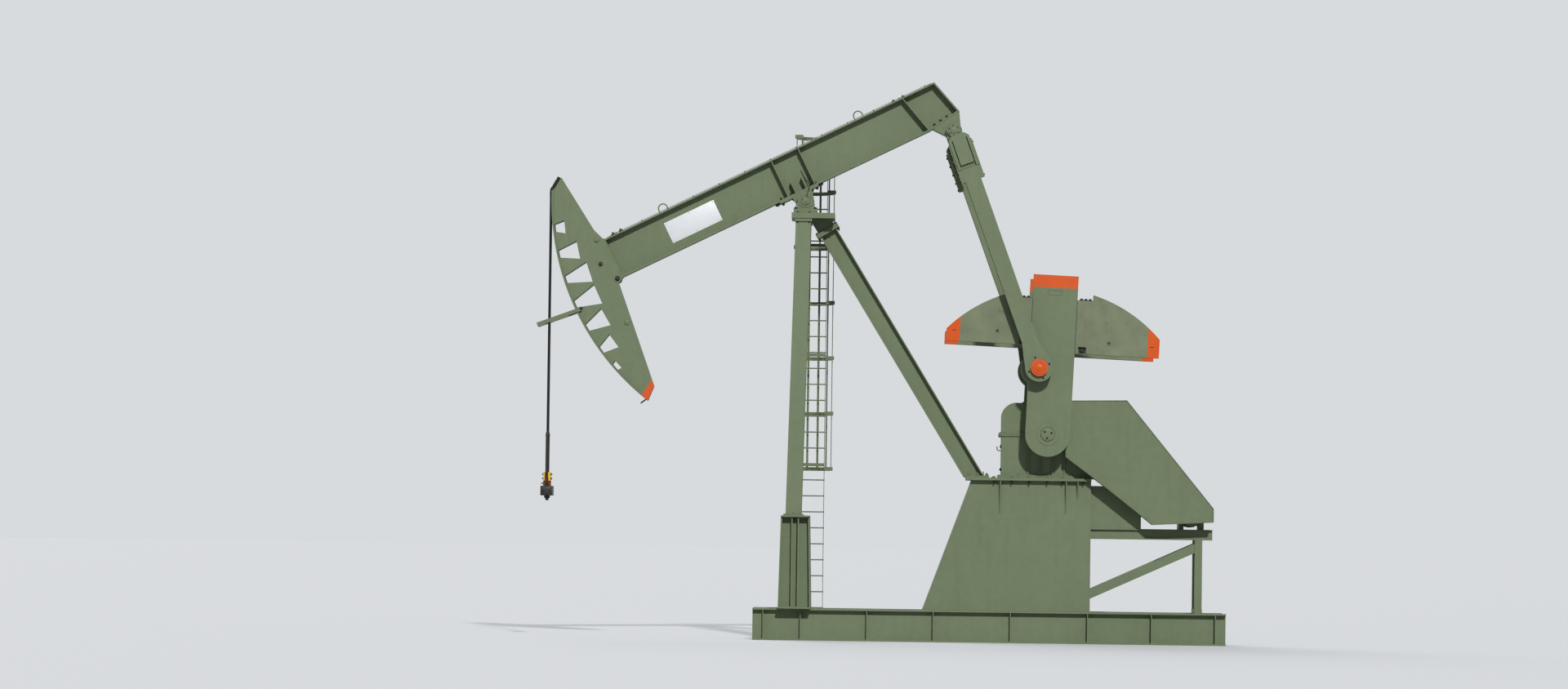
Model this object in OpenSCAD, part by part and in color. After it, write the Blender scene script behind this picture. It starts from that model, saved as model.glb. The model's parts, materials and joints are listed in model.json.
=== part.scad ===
// Beam pumping unit for an oil well, at real size in millimetres.
// The origin lies on the ground under the centre bearing. The gear side is +X,
// the well side is -X, the near side is -Y, and +Z is up.

/* [Linkage] */
// Height of the centre bearing axis
pivot_z = 8300; // [8200:10:8400]
// Centre bearing to tail bearing
tail_arm = 3100; // [3050:5:3150]
// Slope of the walking beam, tail up
beam_tilt = 26.2; // [24:0.1:28]
// Slow shaft axis ahead of the centre bearing
shaft_x = 4600; // [4550:5:4650]
// Slow shaft above the top of the gear pedestal
shaft_rise = 820; // [780:5:860]
// Slow shaft to wrist pin
crank_radius = 1250; // [1200:5:1300]
// Wrist pin direction, clockwise from straight up
pin_lean = -8.5; // [-12:0.5:-5]
// Crank arm direction, clockwise from straight up
arm_lean = 2.5; // [0:0.5:5]

/* [Walking beam] */
// Beam bottom above the bearing axis
beam_seat = 200; // [190:1:215]
// Depth of the beam
beam_depth = 800; // [760:5:840]
// Width of the beam flanges
flange_w = 400; // [370:5:420]
// Thickness of the beam flanges
flange_t = 30; // [20:1:40]
// Thickness of the beam web
web_t = 20; // [14:1:30]
// Where the bottom flange starts to rise towards the tail
tail_kink = 2700; // [2650:5:2750]
// Tail end of the bottom flange
tail_end = 3365; // [3340:5:3400]
// Rise of the bottom flange at its tail end
tail_rise = 100; // [80:5:120]
// Lean of the tail end plate, from its foot to its top
tail_lean = 195; // [160:5:230]

/* [Horsehead] */
// Radius of the horsehead face about the centre bearing
face_r = 4820; // [4800:5:4850]
// Depth of the horsehead, from its face to the end of the beam
head_depth = 1080; // [1040:5:1120]
// Angle of the upper end of the face
face_up = 28; // [27:0.5:29]
// Angle of the lower end of the face
face_down = 26; // [25:0.5:27]
// Width of the horsehead box
head_w = 400; // [360:5:430]
// Width of the curved face plate
face_w = 480; // [460:5:500]
// Thickness of the curved face plate
face_t = 30; // [20:1:40]
// Width of a window at its outer end
window_outer = 140; // [120:5:170]
// Width of a window at its inner end
window_inner = 400; // [340:5:410]
// Reach of the rope keeper past the face
keeper_reach = 780; // [700:10:850]

/* [Hanger] */
// Diameter of the bridle ropes
rope_d = 32; // [24:1:36]
// Spacing of the two bridle ropes
rope_gap = 400; // [380:5:430]
// Clearance between the ropes and the face
rope_clear = 0.3; // [0.2:0.1:1]
// Underside of the carrier bar
carrier_z = 2670; // [2600:10:2750]
// Height of the carrier bar
carrier_h = 180; // [150:5:220]
// Diameter of the rod hole
rod_hole_d = 40; // [34:1:44]

/* [Post] */
// Width of the H beams of the front legs
leg_w = 290; // [260:5:320]
// Depth of the H beams of the front legs
leg_d = 260; // [230:5:290]
// Width of the H beam of the rear leg
rear_w = 340; // [300:5:370]
// Flange thickness of the legs
leg_t = 20; // [14:1:28]
// Front legs at their feet, from the middle of the unit
leg_foot_y = 720; // [690:5:740]
// Front legs at the cap, from the middle of the unit
leg_head_y = 430; // [400:5:450]
// Top of the front pedestal
front_top = 2350; // [2300:10:2420]
// Thickness of the cap under the bearings
cap_t = 100; // [80:5:130]

/* [Base] */
// Height of the skid beams
skid_h = 600; // [560:10:640]
// Flange width of the skid beams
skid_w = 300; // [260:5:320]
// Skid beams, from the middle of the unit
skid_y = 600; // [580:5:620]
// Front end of the skid
skid_front = 900; // [850:10:1000]
// Rear end of the skid
skid_rear = 8000; // [7900:10:8200]
// Top of the gear pedestal
gear_top = 3110; // [3050:5:3150]
// Thickness of the top plate of the gear pedestal
table_t = 50; // [40:1:60]

/* [Gearbox and drive] */
// Length of the gearbox
gearbox_l = 2540; // [2500:10:2580]
// Height of the gearbox
gearbox_h = 1420; // [1380:10:1440]
// Width of the gearbox case
gearbox_w = 840; // [800:5:870]
// Diameter of the slow shaft
shaft_d = 260; // [220:5:280]
// Width of the belt guard
guard_w = 360; // [320:5:370]
// Thickness of the motor foot rails
rail_h = 200; // [180:5:220]
// Diameter of the motor frame
motor_d = 480; // [440:5:520]

/* [Cranks and weights] */
// Inner face of the cranks, from the middle of the unit
crank_y = 880; // [860:5:890]
// Thickness of the cranks
crank_t = 220; // [200:5:230]
// Width of the crank arm
arm_w = 840; // [800:5:880]
// Slow shaft to the outer end of the crank arm
arm_reach = 2990; // [2950:5:3020]
// Inner edge of the front weight, from the slow shaft
front_weight_in = 1660; // [1620:5:1700]
// Inner edge of the rear weight, from the slow shaft
rear_weight_in = 1540; // [1500:5:1580]
// Radius of the outer edge of the weights about the slow shaft
weight_r = 2750; // [2700:5:2800]
// Reach of the weights on each side of the arm's middle line
weight_reach = 2000; // [1950:5:2050]

/* [Pitmans] */
// Inner face of the pitmans, from the middle of the unit
pitman_y = 1150; // [1120:5:1160]
// Depth of the pitmans across the unit
pitman_d = 300; // [280:5:320]
// Width of the pitman columns
pitman_w = 300; // [280:5:320]
// Radius of the foot of the pitman about the wrist pin
foot_r = 260; // [240:5:280]
// Diameter of the tail bearing shaft
tail_shaft_d = 214; // [190:2:230]

/* [Ladder] */
// Spacing of the rungs
rung_step = 305; // [300:1:310]
// Width between the ladder rails
ladder_w = 460; // [420:5:480]
// Ladder plane, from the middle of the unit
ladder_y = 1010; // [990:5:1040]
// Middle of the ladder, from the centre bearing
ladder_x = 170; // [150:5:190]
// Half width of the cage
cage_r = 390; // [370:5:430]
// Spacing of the cage hoops
hoop_step = 1060; // [1040:5:1080]

/* [Fits] */
// Clearance between a shaft and its bearing
fit = 0.3; // [0.2:0.05:0.5]
// Clearance between moving pieces side by side
run_gap = 5; // [5:1:8]
// Clearance between plates that are bolted together
seat_gap = 0.1; // [0.05:0.05:0.3]

/* [Hidden] */
round_fn = 64;
paint = "darkseagreen";
safety = "orangered";
galvanised = "silver";

shaft_z = gear_top + shaft_rise;
crank_out = crank_y + crank_t;
beam_top = beam_seat + beam_depth;
beam_head_end = face_r - head_depth;
pin_x = shaft_x + crank_radius * sin(pin_lean);
pin_z = shaft_z + crank_radius * cos(pin_lean);
tail_x = tail_arm * cos(beam_tilt);
tail_z = pivot_z + tail_arm * sin(beam_tilt);
pitman_l = norm([tail_x - pin_x, tail_z - pin_z]);
pitman_lean = atan2(tail_x - pin_x, tail_z - pin_z);
rope_x = -(face_r + rope_clear + rope_d / 2);

// Bottom of the walking beam at a place along it
function beam_bottom(a) =
    beam_seat + max(0, a - tail_kink) * tail_rise / (tail_end - tail_kink);

// A plate in the XZ plane from one Y to another
module plate_y(y0, y1) {
    translate([0, y1, 0]) rotate([90, 0, 0]) linear_extrude(y1 - y0) children();
}

// A box from its lowest corner to its highest
module block(low, high) {
    translate(low) cube(high - low);
}

// A round bar along Y
module bar_y(r, y0, y1) {
    translate([0, y1, 0]) rotate([90, 0, 0]) cylinder(r = r, h = y1 - y0, $fn = round_fn);
}

// Local Z along the line from p to q, with local X kept level across the unit
module aim(p, q) {
    d = q - p;
    translate(p) rotate([-asin(d[1] / norm(d)), atan2(d[0], d[2]), 0]) children();
}

// The walking beam's own frame, with X along the beam towards the tail
module on_beam() {
    translate([0, 0, pivot_z]) rotate([0, -beam_tilt, 0]) children();
}

// The crank arms' own frame, with Z along the arm
module on_crank() {
    translate([shaft_x, 0, shaft_z]) rotate([0, arm_lean, 0]) children();
}

// The pitmans' own frame, with the tail bearing at the origin
module on_pitman() {
    translate([tail_x, 0, tail_z]) rotate([0, pitman_lean, 0]) children();
}

// Section of an H beam with its flanges across local X
module h_section(w, d, t, web) {
    for (side = [-1, 1]) translate([0, side * (d - t) / 2]) square([w, t], center = true);
    square([web, d - t], center = true);
}

/* Base */

// One I beam of the skid
skid_flange = 30;
skid_web = 20;
module skid_rail(side) {
    color(paint) translate([0, side * skid_y, 0]) {
        block([-skid_front, -skid_w / 2, 0], [skid_rear, skid_w / 2, skid_flange]);
        block([-skid_front, -skid_w / 2, skid_h - skid_flange], [skid_rear, skid_w / 2, skid_h]);
        block([-skid_front, -skid_web / 2, 0], [skid_rear, skid_web / 2, skid_h]);
    }
}

// Channels that join the two skid beams
cross_xs = [-700, 0, 2500, 5400, 7800];
cross_w = 240;
cross_h = 420;
module skid_crosses() {
    reach = skid_y - skid_w / 2;
    color(paint) for (x = cross_xs) translate([x, 0, 0]) {
        block([-cross_w / 2, -reach, 0], [cross_w / 2, reach, skid_flange]);
        block([-cross_w / 2, -reach, cross_h - skid_flange], [cross_w / 2, reach, cross_h]);
        block([-skid_web / 2, -reach, 0], [skid_web / 2, reach, cross_h]);
    }
}

// Open box of ribbed plates under the two front legs
leg_foot_x = -155;
front_x = leg_foot_x + 40;
front_w = 620;
front_reach = 950;
front_t = 30;
rib_x = 60;
module front_pedestal() {
    x0 = front_x - front_w / 2;
    x1 = front_x + front_w / 2;
    wall = front_reach - 60;
    color(paint) {
        block([x0 + 40, -front_reach, front_top - front_t], [x1 - 40, front_reach, front_top]);
        block([x0, -front_reach, skid_h], [x1, front_reach, skid_h + front_t]);
        for (side = [-1, 1]) {
            block([front_x + side * rib_x - 12, -wall, skid_h],
                  [front_x + side * rib_x + 12, wall, front_top - 5]);
            plate_x(front_x + side * (front_w / 2 - 70), wall, side);
        }
        for (y = [-leg_foot_y, -leg_foot_y / 3, leg_foot_y / 3, leg_foot_y])
            plate_y(y - front_t / 2, y + front_t / 2) polygon([
                [x0 + 55, front_top - 5], [x1 - 55, front_top - 5],
                [x1 - 15, skid_h + 5], [x0 + 15, skid_h + 5]]);
    }
}

// End wall of the front pedestal, leaning out towards its foot
module plate_x(x, wall, side) {
    plate_y(-wall, wall) polygon([
        [x, front_top - 5], [x + side * front_t, front_top - 5],
        [x + side * 70, skid_h + 5], [x + side * (70 - front_t), skid_h + 5]]);
}

// Steel box under the gearbox, with gussets under its top plate
gear_front = 1400;
gear_back = 850;
gear_slope = 900;
table_edge = 100;
gear_x0 = shaft_x - gear_front;
gear_x1 = shaft_x + gear_back;
gear_foot = gear_x0 - gear_slope;
gear_half = 480;
table_half = 620;
fin_t = 25;
fin_out = 120;
gussets = [[-860, 620], [380, 620], [600, 330]];
module gear_pedestal() {
    under = gear_top - table_t;
    color(paint) {
        plate_y(-gear_half, gear_half)
            polygon([[gear_foot, skid_h], [gear_x1, skid_h], [gear_x1, under], [gear_x0, under]]);
        block([gear_x0 - table_edge, -table_half, under], [gear_x1, table_half, gear_top]);
        for (gusset = gussets)
            for (side = [-1, 1])
                translate([shaft_x + gusset[0], 0, 0]) rotate([0, 0, side * 90])
                    plate_y(-fin_t / 2, fin_t / 2)
                        polygon([[gear_half - 10, under - gusset[1]], [gear_half + 10, under - gusset[1]],
                                 [gear_half + fin_out, under + 5], [gear_half - 10, under + 5]]);
    }
}

// Sloping table behind the pedestal that takes the motor rails
stand_l = 950;
stand_flat = 250;
stand_step = 130;
stand_end_drop = 630;
rail_drop = 1130;
stand_x1 = gear_x1 + stand_l;
stand_top = gear_top - stand_step;
stand_low = gear_top - stand_end_drop;
stand_half = 380;
rail_z = gear_top - rail_drop;
module motor_stand() {
    color(paint) {
        for (side = [-1, 1])
            plate_y(side * stand_half - fin_t / 2, side * stand_half + fin_t / 2)
                polygon([[gear_x1, rail_z + rail_h], [stand_x1, rail_z + rail_h],
                         [stand_x1, stand_low], [gear_x1 + stand_flat, stand_top],
                         [gear_x1, stand_top]]);
        block([gear_x1, -stand_half, stand_top - fin_t], [gear_x1 + stand_flat, stand_half, stand_top]);
        block([gear_x1, -stand_half, rail_z + rail_h], [gear_x1 + fin_t, stand_half, stand_top]);
    }
}

// Two rails for the motor with a cross beam, posts and braces down to the skid
rail_reach = 3150;
rail_y = 330;
rail_w = 160;
post_in = 250;
rail_x1 = shaft_x + rail_reach;
post_x = rail_x1 - post_in;
module motor_rails() {
    color(paint) {
        for (side = [-1, 1]) translate([0, side * rail_y, 0]) {
            block([gear_x1, -rail_w / 2, rail_z], [rail_x1, rail_w / 2, rail_z + 20]);
            block([gear_x1, -rail_w / 2, rail_z + rail_h - 20], [rail_x1, rail_w / 2, rail_z + rail_h]);
            block([gear_x1, -10, rail_z], [rail_x1, 10, rail_z + rail_h]);
        }
        for (x = [post_x - 80, stand_x1 - 100])
            block([x, -rail_y, rail_z + 20], [x + 100, rail_y, rail_z + rail_h - 20]);
        for (side = [-1, 1]) {
            y = side * (rail_y + 20);
            block([post_x - 80, y - 60, skid_h], [post_x + 60, y + 60, rail_z + 5]);
            plate_y(y - 40, y + 40)
                polygon([[post_x - 80, rail_z - 60], [post_x - 80, rail_z - 240],
                         [gear_x1, skid_h + 250], [gear_x1, skid_h + 430]]);
        }
        block([post_x - 80, -skid_y + skid_w / 2 - 60, skid_h],
              [post_x + 60, skid_y - skid_w / 2 + 60, skid_h + 80]);
    }
}

// Foot mounted electric motor with cooling fins
motor_reach = 2750;
motor_x = shaft_x + motor_reach;
motor_lift = 40;
motor_z = rail_z + rail_h + motor_d / 2 + motor_lift;
motor_y0 = -400;
motor_y1 = 420;
module motor() {
    color(paint) {
        translate([motor_x, 0, motor_z]) {
            bar_y(motor_d / 2 - 25, motor_y0, motor_y1);
            for (turn = [0 : 15 : 179]) rotate([0, turn, 0])
                block([-motor_d / 2, motor_y0 + 120, -6], [motor_d / 2, motor_y1 - 200, 6]);
            bar_y(40, -guard_in, motor_y0 + 10);
            bar_y(motor_d / 2, motor_y1 - 160, motor_y1);
        }
        for (side = [-1, 1])
            block([motor_x + side * 190 - 50, motor_y0 + 100, rail_z + rail_h],
                  [motor_x + side * 190 + 50, motor_y1 - 220, motor_z - motor_d / 4]);
    }
}

/* Post */

leg_head_x = -35;
bearing_drop = 235;
cap_top = pivot_z - bearing_drop;
cap_under = cap_top - cap_t;

// One front leg, cut level at its foot and head
shoe_t = 30;
module leg_front(side) {
    foot = [leg_foot_x, side * leg_foot_y, front_top];
    head = [leg_head_x, side * leg_head_y, cap_under];
    color(paint) {
        intersection() {
            aim(foot, head) translate([0, 0, -100])
                linear_extrude(norm(head - foot) + 200) h_section(leg_w, leg_d, leg_t, leg_t);
            block([-1000, -2000, front_top], [1000, 2000, cap_under]);
        }
        translate(foot)
            block([-leg_w / 2 - 40, -leg_d / 2 - 50, 0], [leg_w / 2 + 40, leg_d / 2 + 50, shoe_t]);
        translate(head)
            block([-leg_w / 2 - 15, -leg_d / 2 - 40, -2 * shoe_t], [leg_w / 2 + 15, leg_d / 2 + 40, 0]);
    }
}

// Inner face of a front leg at a height, from the middle of the unit
leg_lean = atan2(leg_foot_y - leg_head_y, cap_under - front_top);
function leg_y(z) = leg_foot_y - (z - front_top) * tan(leg_lean);
function leg_x(z) = leg_foot_x + (z - front_top) * (leg_head_x - leg_foot_x) / (cap_under - front_top);

// Bar across between the front legs
tie_h = 180;
tie_d = 200;
tie_low_z = 4150;
tie_high_z = 6100;
module leg_tie(z) {
    reach = leg_y(z + tie_h) - leg_d / 2 / cos(leg_lean) - fit;
    x = leg_x(z);
    color(paint) {
        block([x - tie_d / 2, -reach, z], [x + tie_d / 2, reach, z + 16]);
        block([x - tie_d / 2, -reach, z + tie_h - 16], [x + tie_d / 2, reach, z + tie_h]);
        block([x - 8, -reach, z], [x + 8, reach, z + tie_h]);
    }
}

// The sloping rear leg, with a foot plate bolted on the gear pedestal
rear_head_x = 420;
rear_head_drop = 550;
rear_head = [rear_head_x, 0, pivot_z - rear_head_drop];
rear_foot_in = 60;
rear_foot = [gear_x0 + rear_foot_in, 0, gear_top];
foot_plate_t = 40;
splice_t = 40;
rear_d = 300;
module leg_rear() {
    l = norm(rear_head - rear_foot);
    color(paint) {
        intersection() {
            aim(rear_foot, rear_head) translate([0, 0, -300])
                linear_extrude(l + 300 - splice_t)
                    rotate(90) h_section(rear_d, rear_w, leg_t, leg_t);
            block([-1000, -1000, gear_top], [9000, 1000, pivot_z]);
        }
        block([gear_x0 - table_edge, -260, gear_top], [gear_x0 + 330, 260, gear_top + foot_plate_t]);
        aim(rear_foot, rear_head)
            block([-rear_w / 2 - 60, -rear_d / 2 - 50, l - splice_t - 1],
                  [rear_w / 2 + 60, rear_d / 2 + 50, l]);
    }
}

// Cap plate under the bearings, with the bracket that meets the rear leg
cap_x0 = -260;
cap_x1 = 560;
cap_half = 620;
module post_cap() {
    l = norm(rear_head - rear_foot);
    color(paint) {
        block([cap_x0, -cap_half, cap_under], [cap_x1, cap_half, cap_top]);
        intersection() {
            union() {
                aim(rear_foot, rear_head) {
                    block([-rear_w / 2 - 60, -rear_d / 2 - 50, l],
                          [rear_w / 2 + 60, rear_d / 2 + 50, l + splice_t]);
                    for (y = [-rear_d / 2, 0, rear_d / 2 - leg_t])
                        block([-rear_w / 2, y, l], [rear_w / 2, y + leg_t, l + 900]);
                }
            }
            block([leg_head_x + leg_w / 2 + 20, -cap_half, cap_under - 2000], [2000, cap_half, cap_under]);
        }
    }
}

// Split bearing housings for the saddle shaft
saddle_r = 90;
house_y0 = 250;
house_y1 = 550;
module centre_bearings() {
    color(paint) for (side = [-1, 1]) {
        y0 = min(side * house_y0, side * house_y1);
        translate([0, 0, pivot_z]) difference() {
            plate_y(y0, y0 + house_y1 - house_y0) union() {
                polygon([[-155, -160], [155, -160], [155, 60], [105, 165], [-105, 165], [-155, 60]]);
                polygon([[-225, -bearing_drop], [225, -bearing_drop], [225, -160], [-225, -160]]);
            }
            bar_y(saddle_r + fit, -house_y1 - 50, house_y1 + 50);
        }
    }
}

/* Gearbox and drive */

gearbox_front = 840;
input_reach = 950;
middle_reach = 530;
gearbox_x0 = shaft_x - gearbox_front;
input_x = shaft_x + input_reach;
middle_x = shaft_x + middle_reach;
guard_in = 470;
guard_out = guard_in + guard_w;
split_t = 60;
round_low = 260;
rib_out = 45;

boss_out = 640;
// Gear case with its split flange, bearing bosses and ribs
module gearbox() {
    x1 = gearbox_x0 + gearbox_l;
    half = gearbox_w / 2;
    top = gear_top + gearbox_h;
    color(paint) difference() {
        union() {
            plate_y(-half, half) {
                polygon([
                    [gearbox_x0, gear_top], [x1, gear_top], [x1, shaft_z + 200], [x1 - 380, top - 60],
                    [shaft_x + 200, top], [gearbox_x0 + round_low, top], [gearbox_x0, top - round_low]]);
                translate([gearbox_x0 + round_low, top - round_low]) circle(r = round_low, $fn = round_fn);
            }
            for (x = [shaft_x - 340, shaft_x - 120, shaft_x + 120, shaft_x + 340])
                plate_y(-half - rib_out, half + rib_out) polygon([
                    [x - 10, gear_top + 5], [x + 10, gear_top + 5],
                    [x + 10, top - 120], [x - 10, top - 120]]);
            block([gearbox_x0 - 60, -half - 40, gear_top], [x1, half + 40, gear_top + 60]);
            block([gearbox_x0 - 50, -half - 30, shaft_z - split_t / 2],
                  [x1 + 50, half + 30, shaft_z + split_t / 2]);
            translate([shaft_x, 0, shaft_z]) {
                bar_y(300, -boss_out, boss_out);
                bar_y(380, -guard_in + 10, guard_in - 10);
            }
            for (x = [middle_x, input_x]) translate([x, 0, shaft_z])
                bar_y(170, -guard_in, guard_in);
        }
        translate([shaft_x, 0, shaft_z]) bar_y(shaft_d / 2 + fit, -2 * half, 2 * half);
    }
}

// Brake drum and band on the far end of the fast shaft
module brake() {
    color("dimgray") translate([input_x, 0, shaft_z]) {
        bar_y(60, guard_in, guard_in + 240);
        bar_y(240, guard_in + 60, guard_in + 180);
        block([-20, guard_in + 80, -320], [20, guard_in + 160, -230]);
    }
}

// Closed guard round the belts
module belt_guard() {
    fast = [input_x, shaft_z];
    drive = [motor_x, motor_z];
    color(paint) plate_y(-guard_out, -guard_in) polygon([
        fast + [-620, 640], fast + [540, 660], drive + [390, 110], drive + [390, -140],
        drive + [-750, -200], fast + [110, -940], fast + [-600, -410]]);
}

/* Ladder */

ladder_z0 = 400;
ladder_top = 9550;
stile_w = 60;
stile_t = 12;
rung_r = 12;
module ladder() {
    color(galvanised) {
        for (side = [-1, 1])
            translate([ladder_x + side * (ladder_w + stile_t) / 2, ladder_y, ladder_z0])
                block([-stile_t / 2, -stile_w / 2, 0], [stile_t / 2, stile_w / 2, ladder_top - ladder_z0]);
        for (z = [ladder_z0 + 200 : rung_step : ladder_top - 100])
            translate([ladder_x - ladder_w / 2 - 1, ladder_y, z]) rotate([0, 90, 0])
                cylinder(r = rung_r, h = ladder_w + 2, $fn = 8);
    }
}

// Stand-off bars from the far front leg to the ladder
bracket_zs = [3300, 5400, 7500];
bracket_h = 60;
module ladder_brackets() {
    back = ladder_y - stile_w / 2;
    color(galvanised) for (z = bracket_zs) {
        leg_face = leg_y(z) + leg_d / 2 / cos(leg_lean) + fit;
        block([leg_x(z) - leg_w / 2 + 20, back - 30, z],
              [ladder_x + ladder_w / 2 + stile_t, back, z + bracket_h]);
        for (side = [-1, 1])
            block([leg_x(z) + side * 80 - 15, leg_face, z],
                  [leg_x(z) + side * 80 + 15, back, z + bracket_h]);
    }
}

// One upright strip of the cage with its share of every hoop
hoop_z0 = 3220;
hoop_h = 70;
cage_t = 8;
cage_n = 6;
cage_depth = 1.75;
hoop_count = 7;
strip_w = 40;
strip_t = 6;
function cage_point(i, out) =
    [ladder_x - (cage_r + out) * cos(i * 180 / cage_n),
     ladder_y + (cage_r * cage_depth + out) * sin(i * 180 / cage_n)];
module cage_panel(i) {
    p = cage_point(i - 1, 0);
    q = cage_point(i, 0);
    d = q - p;
    last_z = hoop_z0 + (hoop_count - 1) * hoop_step;
    stile_out = ladder_w / 2 + stile_t;
    color(galvanised) {
        for (z = [hoop_z0 : hoop_step : last_z]) translate([0, 0, z]) {
            linear_extrude(hoop_h) polygon([p, q, cage_point(i, cage_t), cage_point(i - 1, cage_t)]);
            if (i == 1)
                block([ladder_x - cage_r - cage_t, ladder_y - cage_t, 0],
                      [ladder_x - stile_out, ladder_y, hoop_h]);
            if (i == cage_n)
                block([ladder_x + stile_out, ladder_y - cage_t, 0],
                      [ladder_x + cage_r + cage_t, ladder_y, hoop_h]);
        }
        translate([p[0], p[1], 0]) rotate([0, 0, atan2(d[1], d[0])])
            block([(norm(d) - strip_w) / 2, -strip_t, hoop_z0 + 5],
                  [(norm(d) + strip_w) / 2, cage_t / 2, last_z + hoop_h - 5]);
    }
}

/* Walking beam */

stiff_t = 20;
end_t = 30;

// A plate across the beam between the flanges, at a place along it
module stiffener(a, lean, w) {
    low = beam_bottom(a) + flange_t / 2;
    high = beam_top - flange_t / 2;
    plate_y(-w / 2, w / 2) polygon([
        [a, low], [a + stiff_t, low], [a + stiff_t - lean, high], [a - lean, high]]);
}

module walking_beam() {
    web_low = beam_seat + flange_t / 2;
    web_high = beam_top - flange_t / 2;
    color(paint) on_beam() {
        plate_y(-web_t / 2, web_t / 2) polygon([
            [-beam_head_end - 1, web_low], [tail_kink, web_low],
            [tail_end - stiff_t - 1, beam_bottom(tail_end) + flange_t / 2],
            [tail_end - tail_lean - stiff_t - 1, web_high], [-beam_head_end - 1, web_high]]);
        plate_y(-flange_w / 2, flange_w / 2) polygon([
            [-beam_head_end - 1, beam_seat], [tail_kink, beam_seat], [tail_end, beam_bottom(tail_end)],
            [tail_end - 5, beam_bottom(tail_end) + flange_t], [tail_kink, beam_seat + flange_t],
            [-beam_head_end - 1, beam_seat + flange_t]]);
        block([-beam_head_end - 1, -flange_w / 2, beam_top - flange_t],
              [tail_end - tail_lean - 10, flange_w / 2, beam_top]);
        block([-beam_head_end - end_t, -flange_w / 2 - 5, beam_seat - 10],
              [-beam_head_end, flange_w / 2 + 5, beam_top + 10]);
        plate_y(-flange_w / 2, flange_w / 2) polygon([
            [tail_end - end_t, beam_bottom(tail_end - end_t)], [tail_end, beam_bottom(tail_end)],
            [tail_end - tail_lean, beam_top], [tail_end - tail_lean - end_t, beam_top]]);
        stiffener(tail_kink - 20, tail_lean, flange_w - 20);
        for (a = [-270, 290]) stiffener(a, 0, flange_w - 20);
        for (a = [-110, 110])
            block([a, -flange_w / 2 + 10, beam_seat + flange_t / 2],
                  [a + stiff_t, flange_w / 2 - 10, beam_seat + 260]);
    }
}

// Sole plate, block and shaft that carry the beam in the centre bearings
sole_t = 40;
module saddle() {
    block_half = house_y0 - 25;
    color(paint) on_beam() {
        block([-450, -flange_w / 2 - 20, beam_seat - sole_t], [350, flange_w / 2 + 20, beam_seat]);
        bar_y(saddle_r, -house_y1 - 20, house_y1 + 20);
        plate_y(-block_half, block_half)
            polygon([[-150, -60], [-90, -120], [90, -120], [150, -60],
                     [200, beam_seat - sole_t], [-200, beam_seat - sole_t]]);
    }
}

// Loops of round bar on top of the beam
eye_at = [-2500, 1600];
eye_r = 85;
eye_bar = 12;
eye_leg = 60;
module lifting_eyes() {
    color(paint) on_beam() for (a = eye_at) translate([a, 0, beam_top]) {
        for (side = [-1, 1]) translate([side * eye_r, 0, 0]) cylinder(r = eye_bar, h = eye_leg, $fn = 16);
        translate([0, 0, eye_leg]) rotate([90, 0, 0])
            rotate_extrude(angle = 180, $fn = round_fn) translate([eye_r, 0]) circle(r = eye_bar, $fn = 16);
    }
}

/* Horsehead */

window_angles = [19.5, 13.5, 7.5, 1.5, -4.5, -10.5, -15.5];
window_shares = [0.19, 0.36, 0.45, 0.45, 0.39, 0.28, 0.085];
head_gap = 120;
arc_steps = 36;

// From the beam's end towards the face, by a share from 0 to 1
function head_place(share) = -(beam_head_end + share * head_depth);

// Point on a circle about the centre bearing, by its angle above the beam's head end
function head_point(r, turn) = [-r * cos(turn), r * sin(turn)];

// One window between the ribs, wider at its inner end
module window(turn, share) {
    r1 = face_r - face_t + 5;
    r0 = r1 - share * head_depth;
    inner = window_outer + (window_inner - window_outer) * share / max(window_shares);
    rotate(-turn) polygon([
        [-r1, -window_outer / 2], [-r0, -inner / 2], [-r0, inner / 2], [-r1, window_outer / 2]]);
}

// Back corners of the head's lower and upper tip, from the ends of the arc
tip_low = [205, 180];
tip_high = [240, 160];

// Box of the horsehead, with its windows cut through
module horsehead() {
    r = face_r - face_t;
    turns = [for (i = [0 : arc_steps]) face_up - i * (face_up + face_down) / arc_steps];
    color(paint) on_beam() plate_y(-head_w / 2, head_w / 2) difference() {
        polygon(concat(
            [for (turn = turns) head_point(r, turn)],
            [head_point(r, -face_down) + tip_low, [head_place(0.22), -850],
             [-beam_head_end - head_gap, beam_seat - 10],
             [-beam_head_end - end_t, beam_seat - 10], [-beam_head_end - end_t, beam_top + 10],
             [-beam_head_end - head_gap, beam_top + 250], head_point(r, face_up) + tip_high]));
        for (i = [0 : len(window_angles) - 1]) window(window_angles[i], window_shares[i]);
    }
}

// Curved plate that the ropes run on
module horsehead_face() {
    r = face_r - face_t;
    color(paint) on_beam() plate_y(-face_w / 2, face_w / 2) difference() {
        intersection() {
            circle(r = face_r, $fn = 360);
            polygon([[0, 0], head_point(2 * face_r, face_up), [-3 * face_r, 0],
                     head_point(2 * face_r, -face_down)]);
        }
        circle(r = r, $fn = 360);
    }
}

// Loop of bar that keeps the ropes on the face
keeper_t = 20;
keeper_h = 70;
keeper_slope = 6;
keeper_hold = 110;
module rope_keeper() {
    inside = face_w / 2;
    color(paint) on_beam() translate([-face_r, 0, 0]) rotate([0, keeper_slope, 0]) difference() {
        block([-keeper_reach, -inside - keeper_t, -keeper_h / 2],
              [keeper_hold, inside + keeper_t, keeper_h / 2]);
        block([-keeper_reach + keeper_t, -inside, -keeper_h], [2 * keeper_hold, inside, keeper_h]);
    }
}

/* Tail */

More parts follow.
